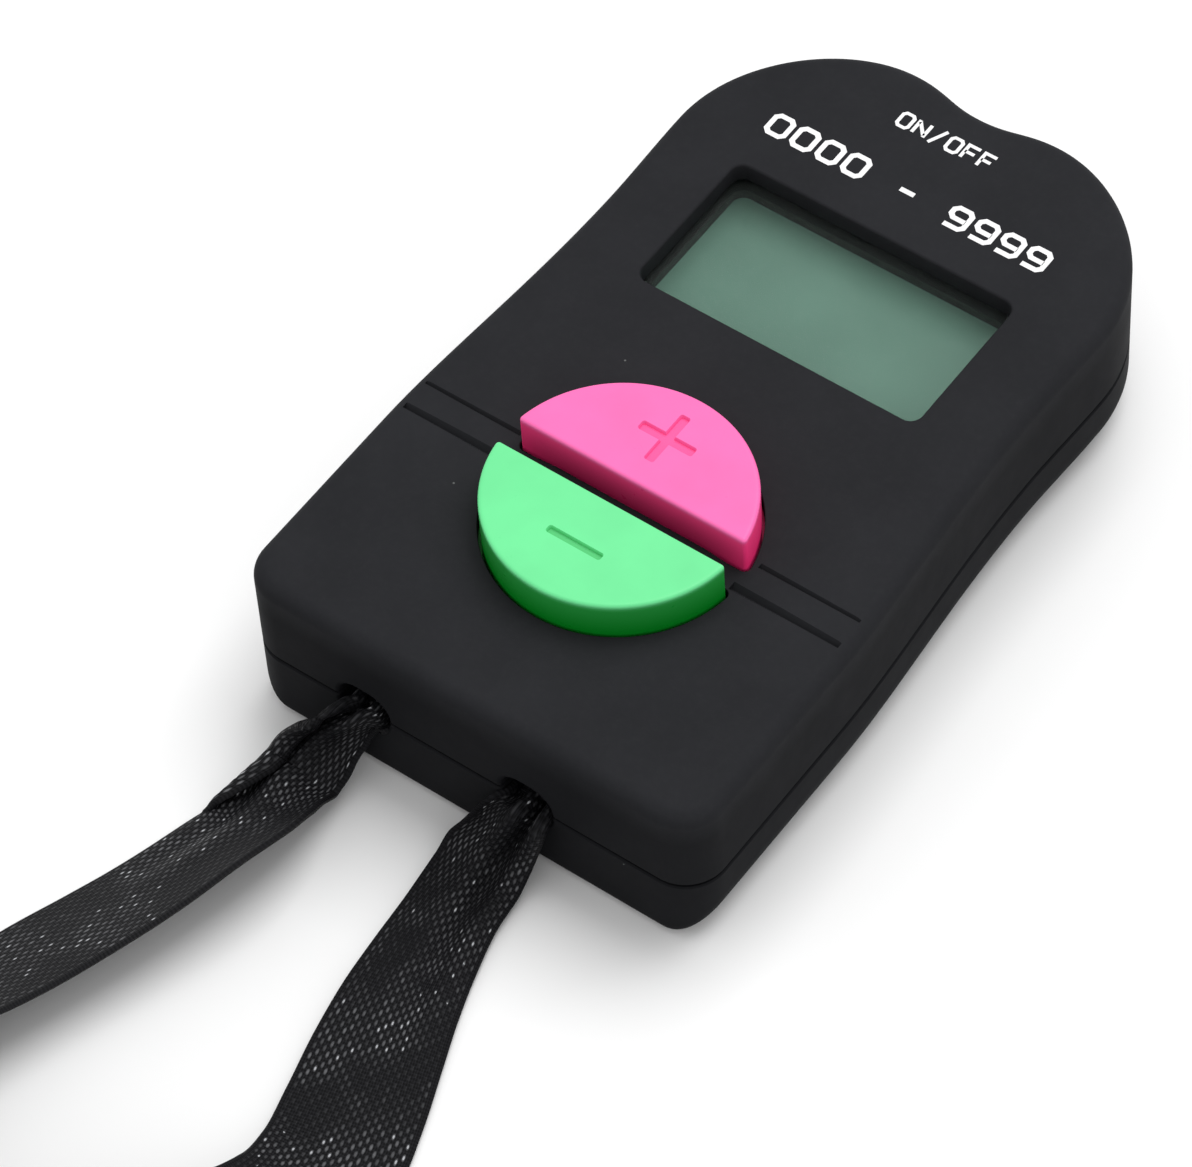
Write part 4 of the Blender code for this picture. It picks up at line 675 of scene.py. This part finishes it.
def half_disc(edge, side, grow, corner, steps=72):
    """The key circle's part beyond the line at edge, grown by that much, with round corners."""
    edge = edge - side * grow
    radius = KEY_RADIUS + grow
    corner = max(corner + grow, 0.05)
    inner = radius - corner
    start = math.asin(side * (edge + side * corner - KEY_CENTRE_Y) / inner)
    points = []
    for i in range(steps + 1):
        angle = start + (math.pi - 2 * start) * i / steps
        points.append((radius * math.cos(angle), radius * math.sin(angle)))
    for mirror, first, last in ((-1, math.pi - start, 1.5 * math.pi),
                                (1, 1.5 * math.pi, 2 * math.pi + start)):
        centre = (mirror * inner * math.cos(start), inner * math.sin(start))
        for i in range(1, 8):
            angle = first + (last - first) * i / 8
            points.append((
                centre[0] + corner * math.cos(angle), centre[1] + corner * math.sin(angle)
            ))
    return [(x, KEY_CENTRE_Y + side * y) for x, y in points]


def sign_bar(centre_y, width, upright):
    """One bar of a sign, its sides sloping outwards, to be cut into a key's top."""
    floor_spread, mouth_spread = -0.06, 0.12
    rings = []
    for z, spread in ((KEY_TOP_Z - SIGN_DEPTH, floor_spread), (KEY_TOP_Z + 0.3, mouth_spread)):
        size = (SIGN_LENGTH + 2 * spread, width + 2 * spread)
        outline = rounded((0, centre_y), *(size[::-1] if upright else size), 0.2, 4)
        rings.append(level(outline, z))
    bar = bmesh.new()
    loft(bar, rings)
    return bar


def key_cap(edge, side):
    """The half-round cap with its softened upper edge."""
    rings = [(0, CEILING_Z - 0.6)]
    rings += [(-inset, KEY_TOP_Z - depth) for inset, depth in round_over(KEY_EDGE_ROUND, 6)]
    rings.append((-KEY_EDGE_ROUND - 0.15, KEY_TOP_Z))
    cap = bmesh.new()
    loft(cap, [level(half_disc(edge, side, grow, KEY_CORNER), z) for grow, z in rings])
    return cap


def counting_key(name, look, edge, side, sign_y, crossed):
    """A half-round key with a sunk sign, and its flange and stem below."""
    flange_low, stem_low = CEILING_Z - 1.2, CEILING_Z - 2.3
    key = make_piece(name, key_cap(edge, side))
    flange = bmesh.new()
    prism(flange, half_disc(edge, side, KEY_FLANGE, KEY_CORNER), flange_low, CEILING_Z - GAP)
    carve(key, flange, "UNION")
    # The stem stands at the half-disc's centre of area
    middle = (0, edge + side * 4 * KEY_RADIUS / (3 * math.pi))
    column(key, middle, KEY_STEM_RADIUS, stem_low, flange_low + 0.3, 32)
    carve(key, sign_bar(sign_y, PLUS_WIDTH if crossed else MINUS_WIDTH, False))
    if crossed:
        carve(key, sign_bar(sign_y, PLUS_WIDTH, True))
    kind = "plus" if side > 0 else "minus"
    dress(key, look, f"{kind}_button", (f"{kind}_key",), smooth=32)


# Shells

def raised_bar(housing):
    """The bar between the keys, flat on top, its ends sloping down to the face."""
    middle = (0, (PLUS_EDGE_Y + MINUS_EDGE_Y) / 2)
    width = PLUS_EDGE_Y - MINUS_EDGE_Y - 2 * GAP
    half = KEY_RADIUS - GAP
    rings = []
    for reach, z in ((half, FACE_Z - 0.8), (half, FACE_Z - 0.02), (half - 3, FACE_Z + BAR_RISE)):
        rings.append(level(rounded(middle, 2 * reach, width, 0.3), z))
    bar = bmesh.new()
    loft(bar, rings)
    carve(housing, bar, "UNION")


def window_outline(grow):
    return rounded((0, WINDOW_Y), WINDOW_WIDTH + 2 * grow, WINDOW_HEIGHT + 2 * grow,
                   WINDOW_CORNER + grow)


def cut_groove(housing, y, start, width, depth, side):
    """A V-shaped groove with a blunt floor, narrowing from the keys to the face's edge."""
    rings = []
    for x, wide in ((start, width * 1.25), (HIP_HALF_WIDTH - 0.95, width * 0.9)):
        rings.append([
            (x * side, y - wide * 0.8, FACE_Z + depth * 0.6),
            (x * side, y + wide * 0.8, FACE_Z + depth * 0.6),
            (x * side, y + wide * 0.12, FACE_Z - depth * 0.85),
            (x * side, y, FACE_Z - depth),
            (x * side, y - wide * 0.12, FACE_Z - depth * 0.85),
        ])
    groove = bmesh.new()
    loft(groove, rings)
    carve(housing, groove)


def cut_reset_mouth(housing):
    """The opening for the reset button, in the wall of the notch."""
    outline = rounded((0, RESET_Z), RESET_WIDTH + 2 * GAP, RESET_HEIGHT + 2 * GAP, 0.9)
    mouth = bmesh.new()
    loft(mouth, [[(x, y, z) for x, z in outline] for y in (NOTCH_Y - WALL - 1, NOTCH_Y + 1)])
    carve(housing, mouth)


def front_shell():
    bottom = SEAM_Z + SEAM_GAP / 2
    rings = [ring(WALL, CEILING_Z), ring(WALL, bottom), ring(SEAM_LIP, bottom),
             ring(0, bottom + SEAM_LIP)]
    shell = bmesh.new()
    loft(shell, rings + edge_rings(FRONT_EDGE_RADIUS, FACE_Z, 1))
    housing = make_piece("front_shell", shell)
    raised_bar(housing)
    for place in BOSSES:
        column(housing, place, BOSS_RADIUS, SEAM_Z - 0.2, CEILING_Z + 0.5, 32)
    for place in POSTS:
        column(housing, place, POST_RADIUS, POST_LOW_Z, CEILING_Z + 0.5, 24)
    cut_opening(housing, window_outline, WINDOW_LIP)
    for edge, side in ((PLUS_EDGE_Y, 1), (MINUS_EDGE_Y, -1)):
        cut_opening(
            housing, lambda grow: half_disc(edge, side, WELL_GAP + grow, KEY_CORNER), WELL_LIP
        )
    for groove in GROOVES:
        for side in (1, -1):
            cut_groove(housing, *groove, side)
    cut_reset_mouth(housing)
    for place in BOSSES:
        column(housing, place, BOSS_BORE, SEAM_Z - 1, BORE_TOP_Z, 20, "DIFFERENCE")
    for place in POSTS:
        column(housing, place, POST_BORE, POST_LOW_Z - 0.7, BORE_TOP_Z, 16, "DIFFERENCE")
    cut_slots(housing)
    dress(housing, "body", "housing", ("front_housing",), smooth=30)


def cover_outline(grow, corner):
    """The battery cover's outline, grown by that much on each side."""
    middle = (0, (COVER_LOW[1] + COVER_HIGH[1]) / 2)
    size = COVER_HIGH - COVER_LOW
    return rounded(middle, size[0] + 2 * grow, size[1] + 2 * grow, corner)


def rear_shell():
    top = SEAM_Z - SEAM_GAP / 2
    lip = WALL + GAP
    rings = [ring(lip + 0.7, FLOOR_THICKNESS), ring(lip + 0.7, top + 1), ring(lip, top + 1),
             ring(lip, top), ring(SEAM_LIP, top), ring(0, top - SEAM_LIP)]
    radius = REAR_END_RADIUS + (REAR_SIDE_RADIUS - REAR_END_RADIUS) * NORMALS[:, 0] ** 2
    shell = bmesh.new()
    loft(shell, rings + edge_rings(radius, 0, -1))
    housing = make_piece("rear_shell", shell)
    ledge = bmesh.new()
    prism(ledge, cover_outline(COVER_LEDGE, COVER_CORNER), COLUMN_LOW_Z, COVER_LEDGE_TOP_Z)
    carve(housing, ledge, "UNION")
    for place in BOSSES:
        column(housing, place, BOSS_RADIUS, COLUMN_LOW_Z, SEAM_Z - 0.5, 32)
    for place, wall, _ in CELL_WALLS:
        column(housing, place, wall, *CELL_WALL_Z, 48)
    bay = bmesh.new()
    prism(bay, cover_outline(GAP, COVER_CORNER + GAP), -1, FLOOR_THICKNESS)
    carve(housing, bay)
    for place in BOSSES:
        bore = bmesh.new()
        turned(bore, place, [
            (SCREW_HEAD_BORE + 0.15, -1), (SCREW_HEAD_BORE + 0.15, 0.0), (SCREW_HEAD_BORE, 0.15),
            (SCREW_HEAD_BORE, SCREW_HEAD_Z), (BOSS_BORE, SCREW_HEAD_Z), (BOSS_BORE, SEAM_Z),
        ])
        carve(housing, bore)
    cut_slots(housing)
    for place, _, inside in CELL_WALLS:
        column(housing, place, inside, *CELL_BORE_Z, 48, "DIFFERENCE")
    room = bmesh.new()
    block(room, *CONTACT_ROOM)
    carve(housing, room)
    dress(housing, "body", "housing", ("rear_housing",), smooth=30)


# The clear window, and the dark gasket that frames the display below it

def window_lens():
    """The clear sheet under the window, its edges bevelled."""
    low, high = box_mm("display_window")
    size = high - low
    bevel = 0.1
    rings = []
    for inset, z in ((bevel, low[2]), (0, low[2] + bevel), (0, high[2] - bevel), (bevel, high[2])):
        outline = rounded((0, WINDOW_Y), size[0] - 2 * inset, size[1] - 2 * inset, WINDOW_CORNER)
        rings.append(level(outline, z))
    data = bmesh.new()
    loft(data, rings)
    make_piece("window_lens", data, "clear", "housing", ("display_window",))


def display_gasket():
    """A frame under the window: a flat rim, and a skirt that reaches down to the display."""
    low, high = box_mm("display_window")
    gap, rim, skirt_wall = 0.05, 0.2, 0.4
    rim_z = low[2] - gap
    skirt_z = box_mm("lcd_glass")[1][2] + gap
    outer = (high[0] - low[0] - 0.4, high[1] - low[1] - 0.4)
    inner = (WINDOW_WIDTH + 0.1, WINDOW_HEIGHT + 0.1)
    skirt = (inner[0] + 2 * skirt_wall, inner[1] + 2 * skirt_wall)
    rings = []
    for size, z in ((outer, rim_z), (outer, rim_z - rim), (skirt, rim_z - rim), (skirt, skirt_z),
                    (inner, skirt_z), (inner, rim_z)):
        rings.append(level(rounded((0, WINDOW_Y), *size, WINDOW_CORNER), z))
    data = bmesh.new()
    loft(data, rings, closed=True)
    make_piece("display_gasket", data, "gasket", "housing")


# Prints on the face

# Each sign as lines in a box of unit size, with whether a line closes on itself
ROUND = [(0.2, 0), (0.8, 0), (1, 0.16), (1, 0.84), (0.8, 1), (0.2, 1), (0, 0.84), (0, 0.16)]
NINE = [(0, 0), (0.8, 0), (1, 0.16), (1, 0.84), (0.8, 1), (0.2, 1), (0, 0.84), (0, 0.6),
        (0.2, 0.44), (0.9, 0.44)]
GLYPHS = {
    "0": [(True, ROUND)],
    "O": [(True, ROUND)],
    "9": [(False, NINE)],
    "N": [(False, [(0, 0), (0, 1)]), (False, [(0.06, 0.88), (0.94, 0.12)]),
          (False, [(1, 0), (1, 1)])],
    "F": [(False, [(0, 0), (0, 1), (1, 1)]), (False, [(0, 0.5), (0.85, 0.5)])],
    "/": [(False, [(0.1, -0.1), (0.9, 1.1)])],
    "-": [(False, [(0.1, 0.5), (0.9, 0.5)])],
}
# The print's underside and top, from the face
PRINT_LOW, PRINT_HIGH = -0.005, 0.014


def add_line(data, points, closed, width):
    """A thin printed line of constant width through the points, with mitred corners."""
    points = np.array(points, float)
    ahead = np.roll(points, -1, axis=0) - points
    behind = points - np.roll(points, 1, axis=0)
    if not closed:
        ahead[-1], behind[0] = behind[-1], ahead[0]
    ahead /= np.linalg.norm(ahead, axis=1)[:, None]
    behind /= np.linalg.norm(behind, axis=1)[:, None]
    square = np.column_stack([-ahead[:, 1], ahead[:, 0]])
    across = square + np.column_stack([-behind[:, 1], behind[:, 0]])
    across *= (width / 2 / np.sum(across * square, axis=1))[:, None]
    rings = []
    for (x, y), (dx, dy) in zip(points, across):
        rings.append([
            (x + dx, y + dy, FACE_Z + PRINT_HIGH), (x - dx, y - dy, FACE_Z + PRINT_HIGH),
            (x - dx, y - dy, FACE_Z + PRINT_LOW), (x + dx, y + dy, FACE_Z + PRINT_LOW),
        ])
    loft(data, rings, closed)


def face_print(name, words, centre, height, pitch, width):
    """Printed signs in square-shouldered strokes, centred on a point of the face."""
    wide = pitch * 0.68
    left = centre[0] - pitch * (len(words) - 1) / 2 - wide / 2
    data = bmesh.new()
    for i, letter in enumerate(words):
        start = left + i * pitch
        for closed, points in GLYPHS.get(letter, ()):
            line = [(start + x * wide, centre[1] + (y - 0.5) * height) for x, y in points]
            add_line(data, line, closed, width)
    make_piece(name, data, "print", "housing")


# Ribbon: the routes of its two free stretches, from the slots to the hank. Each point is x, y,
# the clear height under the lower edge, the width, and the tilt from lying flat in degrees.

LEFT_ROUTE = [
    (-9.1, -31.8, 4.7, 3.6, 0), (-9.0, -32.8, 4.9, 3.6, 0), (-9.6, -33.5, 4.7, 3.8, -6),
    (-10.3, -34.0, 3.6, 4.3, -14), (-11.0, -34.5, 2.4, 5.0, -17), (-11.5, -35.2, 1.6, 5.3, -15),
    (-11.7, -36.1, 1.1, 5.8, -11), (-11.8, -37.3, 1.0, 6.2, -2), (-11.9, -39.0, 0.7, 6.7, 9),
    (-11.8, -41.1, 0.3, 7.6, 20), (-11.8, -43.4, 0.1, 9.2, 30), (-12.5, -46.6, 0.1, 10.0, 33),
    (-13.9, -51.4, 0.1, 10.0, 31), (-15.7, -56.5, 0.1, 10.0, 29), (-17.6, -61.6, 0.1, 10.0, 28),
    (-19.4, -67.6, 0.1, 10.0, 33), (-19.8, -74.0, 0.1, 10.0, 48), (-17.9, -80.6, 0.1, 10.0, 70),
    (-14.3, -86.2, 0.1, 10.0, 86), (-11.6, -90.3, 0.1, 10.0, 90), (-11.0, -93.2, 0.1, 10.0, 90),
]
RIGHT_ROUTE = [
    (5.2, -31.8, 4.7, 3.9, 0), (5.2, -32.8, 4.9, 4.1, 0), (5.0, -33.6, 4.9, 4.9, 0),
    (4.6, -34.0, 4.1, 5.5, 0), (4.2, -34.3, 3.0, 5.8, -1), (3.8, -34.8, 1.9, 6.2, -2),
    (3.5, -35.6, 1.1, 6.7, -2), (3.5, -37.1, 0.4, 6.9, 0), (3.8, -40.5, 0.2, 6.9, 0),
    (4.5, -44.7, 0.1, 7.6, -2), (5.4, -48.7, 0.1, 8.4, -4), (6.6, -52.9, 0.1, 9.2, -4),
    (8.1, -57.6, 0.1, 9.8, -4), (9.4, -62.1, 0.1, 10.0, -8), (9.8, -66.8, 0.1, 10.0, -18),
    (8.2, -72.2, 0.1, 10.0, -34), (4.0, -77.0, 0.1, 10.0, -57), (-1.6, -81.5, 0.1, 10.0, -78),
    (-5.7, -86.8, 0.1, 10.0, -90), (-7.0, -93.2, 0.1, 10.0, -90),
]
RIBBON_THICKNESS = 0.42
# The hank: its middle, the length of its straight runs, where each run lies across it, and how
# far the tie draws the runs together and lifts them
HANK_X, HANK_Y, HANK_RUN = 6.0, -136.0, 85.0
HANK_RUNS = [-13.0, 9.0, 0.0, -9.0, 13.0, -17.0]
HANK_WAIST, HANK_WAIST_REACH, HANK_LIFT = 0.2, 14.0, 0.9
# Distances from the middle towards the hank, with what the cloth does there: the depth of its
# pleats, the width folded over, and how far its section is kept square to the end wall
PLEATS = ([31, 33.4, 34.6, 36, 40, 44, 49, 54], [0.9, 0.8, 0.5, 0.42, 0.32, 0.22, 0.1, 0.0])
FOLD = ([33.4, 34.4, 39, 43.5, 45], [0.0, 1.8, 2.3, 0.6, 0.0])
SQUARE = ([35.5, 39.0], [1.0, 0.0])
ACROSS_STEPS = 37


def blend(a, b, start, end, at):
    """From a at start to b at end, in a straight line."""
    return a * (end - at) / (end - start) + b * (at - start) / (end - start)


def smooth_route(route, steps):
    """A centripetal curve through the route's points, with all its values."""
    points = np.array(route, float)
    padded = np.vstack([2 * points[0] - points[1], points, 2 * points[-1] - points[-2]])
    knots = [0.0]
    for a, b in zip(padded, padded[1:]):
        knots.append(knots[-1] + math.sqrt(np.linalg.norm((b - a)[:3])))
    made = []
    for i in range(1, len(padded) - 2):
        p0, p1, p2, p3 = padded[i - 1:i + 3]
        t0, t1, t2, t3 = knots[i - 1:i + 3]
        for k in range(steps):
            t = t1 + (t2 - t1) * k / steps
            middle = blend(p1, p2, t1, t2, t)
            first = blend(blend(p0, p1, t0, t1, t), middle, t0, t2, t)
            second = blend(middle, blend(p2, p3, t2, t3, t), t1, t3, t)
            made.append(blend(first, second, t1, t2, t))
    made.append(points[-1])
    return np.array(made)


def free_rows(route, folded):
    """Rows from the slot outwards: x, y, z, width, tilt, pleat, fold and squareness."""
    bunched_width, bunched_height = 4.8, 1.5
    curve = smooth_route(route, 8)
    width, tilt = curve[:, 3], np.radians(curve[:, 4])
    spread = np.clip((width - bunched_width) / (RIBBON_WIDTH - bunched_width), 0, 1)
    thick = bunched_height - spread
    curve[:, 2] += (width * abs(np.sin(tilt)) + thick * np.cos(tilt)) / 2
    pleat = np.interp(-curve[:, 1], *PLEATS)
    fold = np.interp(-curve[:, 1], *FOLD) * folded
    square = np.interp(-curve[:, 1], *SQUARE)
    return np.column_stack([curve[:, :3], width, tilt, pleat, fold, square])


def hank_rows():
    """The hank's rows: two arms that wind out from one centre run, drawn in at the tie."""
    half = HANK_RUN / 2
    points = []
    for i, x in enumerate(HANK_RUNS):
        way = -1 if i % 2 == 0 else 1
        for k in range(24):
            points.append((x, -way * half + way * HANK_RUN * k / 24))
        if i + 1 == len(HANK_RUNS):
            points.append((x, way * half))
            continue
        centre, radius = (x + HANK_RUNS[i + 1]) / 2, abs(HANK_RUNS[i + 1] - x) / 2
        side = math.copysign(1, x - centre)
        for k in range(20):
            angle = math.pi * k / 20
            points.append((centre + side * radius * math.cos(angle),
                           way * (half + radius * math.sin(angle))))
    x, y = np.array(points).T
    drawn = np.exp(-(y / HANK_WAIST_REACH) ** 2)
    none = np.zeros(len(points))
    return np.column_stack([
        HANK_X + x * (1 - HANK_WAIST * drawn), HANK_Y + y, RIBBON_WIDTH / 2 + HANK_LIFT * drawn,
        none + RIBBON_WIDTH, none - math.pi / 2, none, none, none,
    ])


def cloth_section(width, pleat, fold, drift):
    """Points round the folded cloth's edge: across, through, and the place across the cloth."""
    cloth = np.linspace(-RIBBON_WIDTH / 2, RIBBON_WIDTH / 2, ACROSS_STEPS)
    line = RIBBON_WIDTH / 2 - fold
    past = np.clip(cloth - line, 0, None)
    across = np.where(cloth > line, 2 * line - cloth, cloth)
    across = (across - (line - RIBBON_WIDTH / 2) / 2) * width / (RIBBON_WIDTH - fold)
    # The folded part rises by fold_height within fold_reach. Two waves make the pleats.
    fold_height, fold_reach = 0.7, 0.5
    turn = 2 * math.pi * cloth / RIBBON_WIDTH
    through = fold_height * np.clip(past / fold_reach, 0, 1) ** 0.6 * min(1.0, fold)
    through += pleat * (np.cos(2 * turn + 0.6 + drift) + 0.45 * np.cos(3 * turn - 0.8 + drift))
    middle = np.column_stack([across, through])
    along = np.gradient(middle, axis=0)
    along /= np.maximum(np.linalg.norm(along, axis=1), 1e-6)[:, None]
    normal = np.column_stack([-along[:, 1], along[:, 0]]) * RIBBON_THICKNESS / 2
    edge = RIBBON_THICKNESS * 0.4
    top, under = middle + normal, middle - normal
    points = np.vstack([
        top, middle[-1] + along[-1] * edge, under[::-1], middle[0] - along[0] * edge
    ])
    places = np.r_[cloth, cloth[-1], cloth[::-1], cloth[0]]
    return np.column_stack([points, places])


def ribbon_piece(name, rows, replaced):
    """A length of ribbon through the rows, and the line that it follows."""
    centres = rows[:, :3]
    along = np.gradient(centres, axis=0)
    along /= np.linalg.norm(along, axis=1)[:, None]
    travelled = np.r_[0, np.cumsum(np.linalg.norm(np.diff(centres, axis=0), axis=1))]
    data = bmesh.new()
    rings, places = [], []
    for (x, y, z, width, tilt, pleat, fold, square), way, u in zip(rows, along, travelled):
        side = np.array([-way[1], way[0], 0.0])
        side /= max(np.linalg.norm(side), 1e-6)
        side = side * (1 - square) + np.array([math.copysign(square, side[0]), 0, 0])
        side /= np.linalg.norm(side)
        up = np.cross(way, side)
        up /= np.linalg.norm(up)
        across = side * math.cos(tilt) + up * math.sin(tilt)
        through = up * math.cos(tilt) - side * math.sin(tilt)
        ring_points = []
        for a, b, v in cloth_section(width, pleat, fold, u * 0.08):
            point = np.array([x, y, z]) + across * a + through * b
            ring_points.append((point[0], point[1], max(point[2], 0.05)))
            places.append((u, v, 0.0))
        rings.append(ring_points)
    loft(data, rings)
    store = data.verts.layers.float_vector.new("cloth")
    data.verts.ensure_lookup_table()
    for vert, place in zip(data.verts, places):
        vert[store] = place
    made = make_piece(name, data, "ribbon", "housing", replaced, smooth=60)
    return made, centres * MM, travelled[-1] * MM


def reversed_rows(rows):
    """The same cloth from its other end: its sides change places, and so does its tilt."""
    rows = rows[::-1].copy()
    rows[:, 4] *= -1
    return rows


def lanyard():
    """The whole ribbon in one piece: right stretch, hank, left stretch."""
    rows = np.vstack([
        free_rows(RIGHT_ROUTE, 0)[:-1], hank_rows(), reversed_rows(free_rows(LEFT_ROUTE, 1))[1:]
    ])
    strap, path, length = ribbon_piece(
        "neck_ribbon", rows, ("lanyard_left", "lanyard_right", "lanyard_hank")
    )
    tie = hank_tie()


def inner_ribbon():
    """The bunched length that joins the two slots inside the end wall."""
    low, high = box_mm("lanyard_inside")
    width = high[2] - low[2]
    edge, bend, pleat = 0.75, 1.2, 0.9
    near_y, far_y = low[1] + 0.9, high[1] - edge
    half = [
        (low[0] + edge, near_y), (low[0] + edge, far_y - bend),
        (low[0] + edge + bend * 0.35, far_y - bend * 0.35), (low[0] + edge + bend, far_y),
    ]
    other = [(low[0] + high[0] - x, y) for x, y in half[::-1]]
    middle = (low[2] + high[2]) / 2
    curve = smooth_route([(x, y, middle) for x, y in half + other], 6)
    none = np.zeros(len(curve))
    rows = np.column_stack([
        curve, none + width, none + math.pi / 2, none + pleat, none, none
    ])
    ribbon_piece("inner_ribbon", rows, ("lanyard_inside",))


def hank_tie():
    """A soft band round the hank's waist, with rounded corners and two fine grooves."""
    low, high = box_mm("lanyard_tie")
    middle = (low + high) / 2
    size = high - low
    # How far in each ring lies, and its place across the band as a share of its width
    inside = [(0.5, 0.0), (0.5, 0.35), (0.4, 0.48)]
    outside = [(0.12, 0.5), (0.0, 0.44), (0.0, 0.3), (0.06, 0.27), (0.0, 0.24), (0.0, 0.0)]
    section = [(inset, -y) for inset, y in inside[:0:-1]] + inside
    section += outside + [(inset, -y) for inset, y in outside[-2::-1]]
    rings = []
    for inset, y in section:
        outline = rounded((middle[0], middle[2]), size[0] - 2 * inset, size[2] - 2 * inset,
                          1.6 - inset, 6)
        rings.append([(x, middle[1] + y * size[1], z) for x, z in outline])
    data = bmesh.new()
    loft(data, rings, closed=True)
    return make_piece("hank_band", data, "tie", "housing", ("lanyard_tie",))


# Materials of the solids that are shown as they are

CAD_LOOKS = {
    "body": ["battery_cover"],
    "silicone": ["plus_dome", "minus_dome", "lcd_connector"],
    "carbon": ["plus_contact", "minus_contact"],
    "lcd": ["lcd_glass"],
    "foil": ["lcd_reflector"],
    "white": ["lcd_holder", "reset_plunger"],
    "board": ["circuit_board"],
    "epoxy": ["counter_chip", "resistor_1", "resistor_2", "reset_switch"],
    "ceramic": ["capacitor_1", "capacitor_2"],
    "dark_button": ["reset_button"],
    "spring_steel": ["cell_top_contact", "cell_side_contact"],
    "steel": ["crystal", "button_cell", "cover_screw"]
             + [f"{kind}_screw_{i}" for kind in ("housing", "board") for i in range(1, 5)],
}


def dress_nodes():
    """Gives each solid that is kept its material."""
    for look, names in CAD_LOOKS.items():
        for name in names:
            mesh = NODES[name].data
            mesh.materials.clear()
            mesh.materials.append(LOOKS[look])


# Floor and light

def make_floor():
    steps, half = 24, 1500
    places = [-half + 2 * half * i / steps for i in range(steps + 1)]
    data = bmesh.new()
    rows = [[data.verts.new((x, y, 0)) for x in places] for y in places]
    for j in range(steps):
        for i in range(steps):
            data.faces.new((rows[j][i], rows[j][i + 1], rows[j + 1][i + 1], rows[j + 1][i]))
    floor = make_piece("studio_floor", data)
    floor.data.materials.append(LOOKS["floor"])


def make_light():
    """An even white surround, and one soft light from above and beyond the notch."""
    world = bpy.data.worlds.new("studio")
    world.use_nodes = True
    sky = world.node_tree.nodes["Background"]
    sky.inputs["Color"].default_value = (1, 1, 1, 1)
    sky.inputs["Strength"].default_value = 0.8
    scene.world = world
    data = bpy.data.lights.new("key", "AREA")
    data.shape = "RECTANGLE"
    data.size, data.size_y = 0.6, 0.6
    data.energy = 4.5
    place, target = Vector((0.02, 0.34, 0.8)), Vector((0, -0.01, 0))
    lamp = bpy.data.objects.new("key", data)
    lamp.location = place
    lamp.rotation_euler = (target - place).to_track_quat("-Z", "Y").to_euler()
    scene.collection.objects.link(lamp)


front_shell()
rear_shell()
counting_key("plus_cap", "pink", PLUS_EDGE_Y, 1, PLUS_SIGN_Y, True)
counting_key("minus_cap", "green", MINUS_EDGE_Y, -1, MINUS_SIGN_Y, False)
window_lens()
display_gasket()
lanyard()
inner_ribbon()
face_print("count_range_print", "0000 - 9999", (-0.3, 22.7), 1.85, 2.3, 0.42)
face_print("switch_print", "ON/OFF", (-0.7, 28.4), 1.35, 1.45, 0.28)
dress_nodes()
make_floor()
make_light()
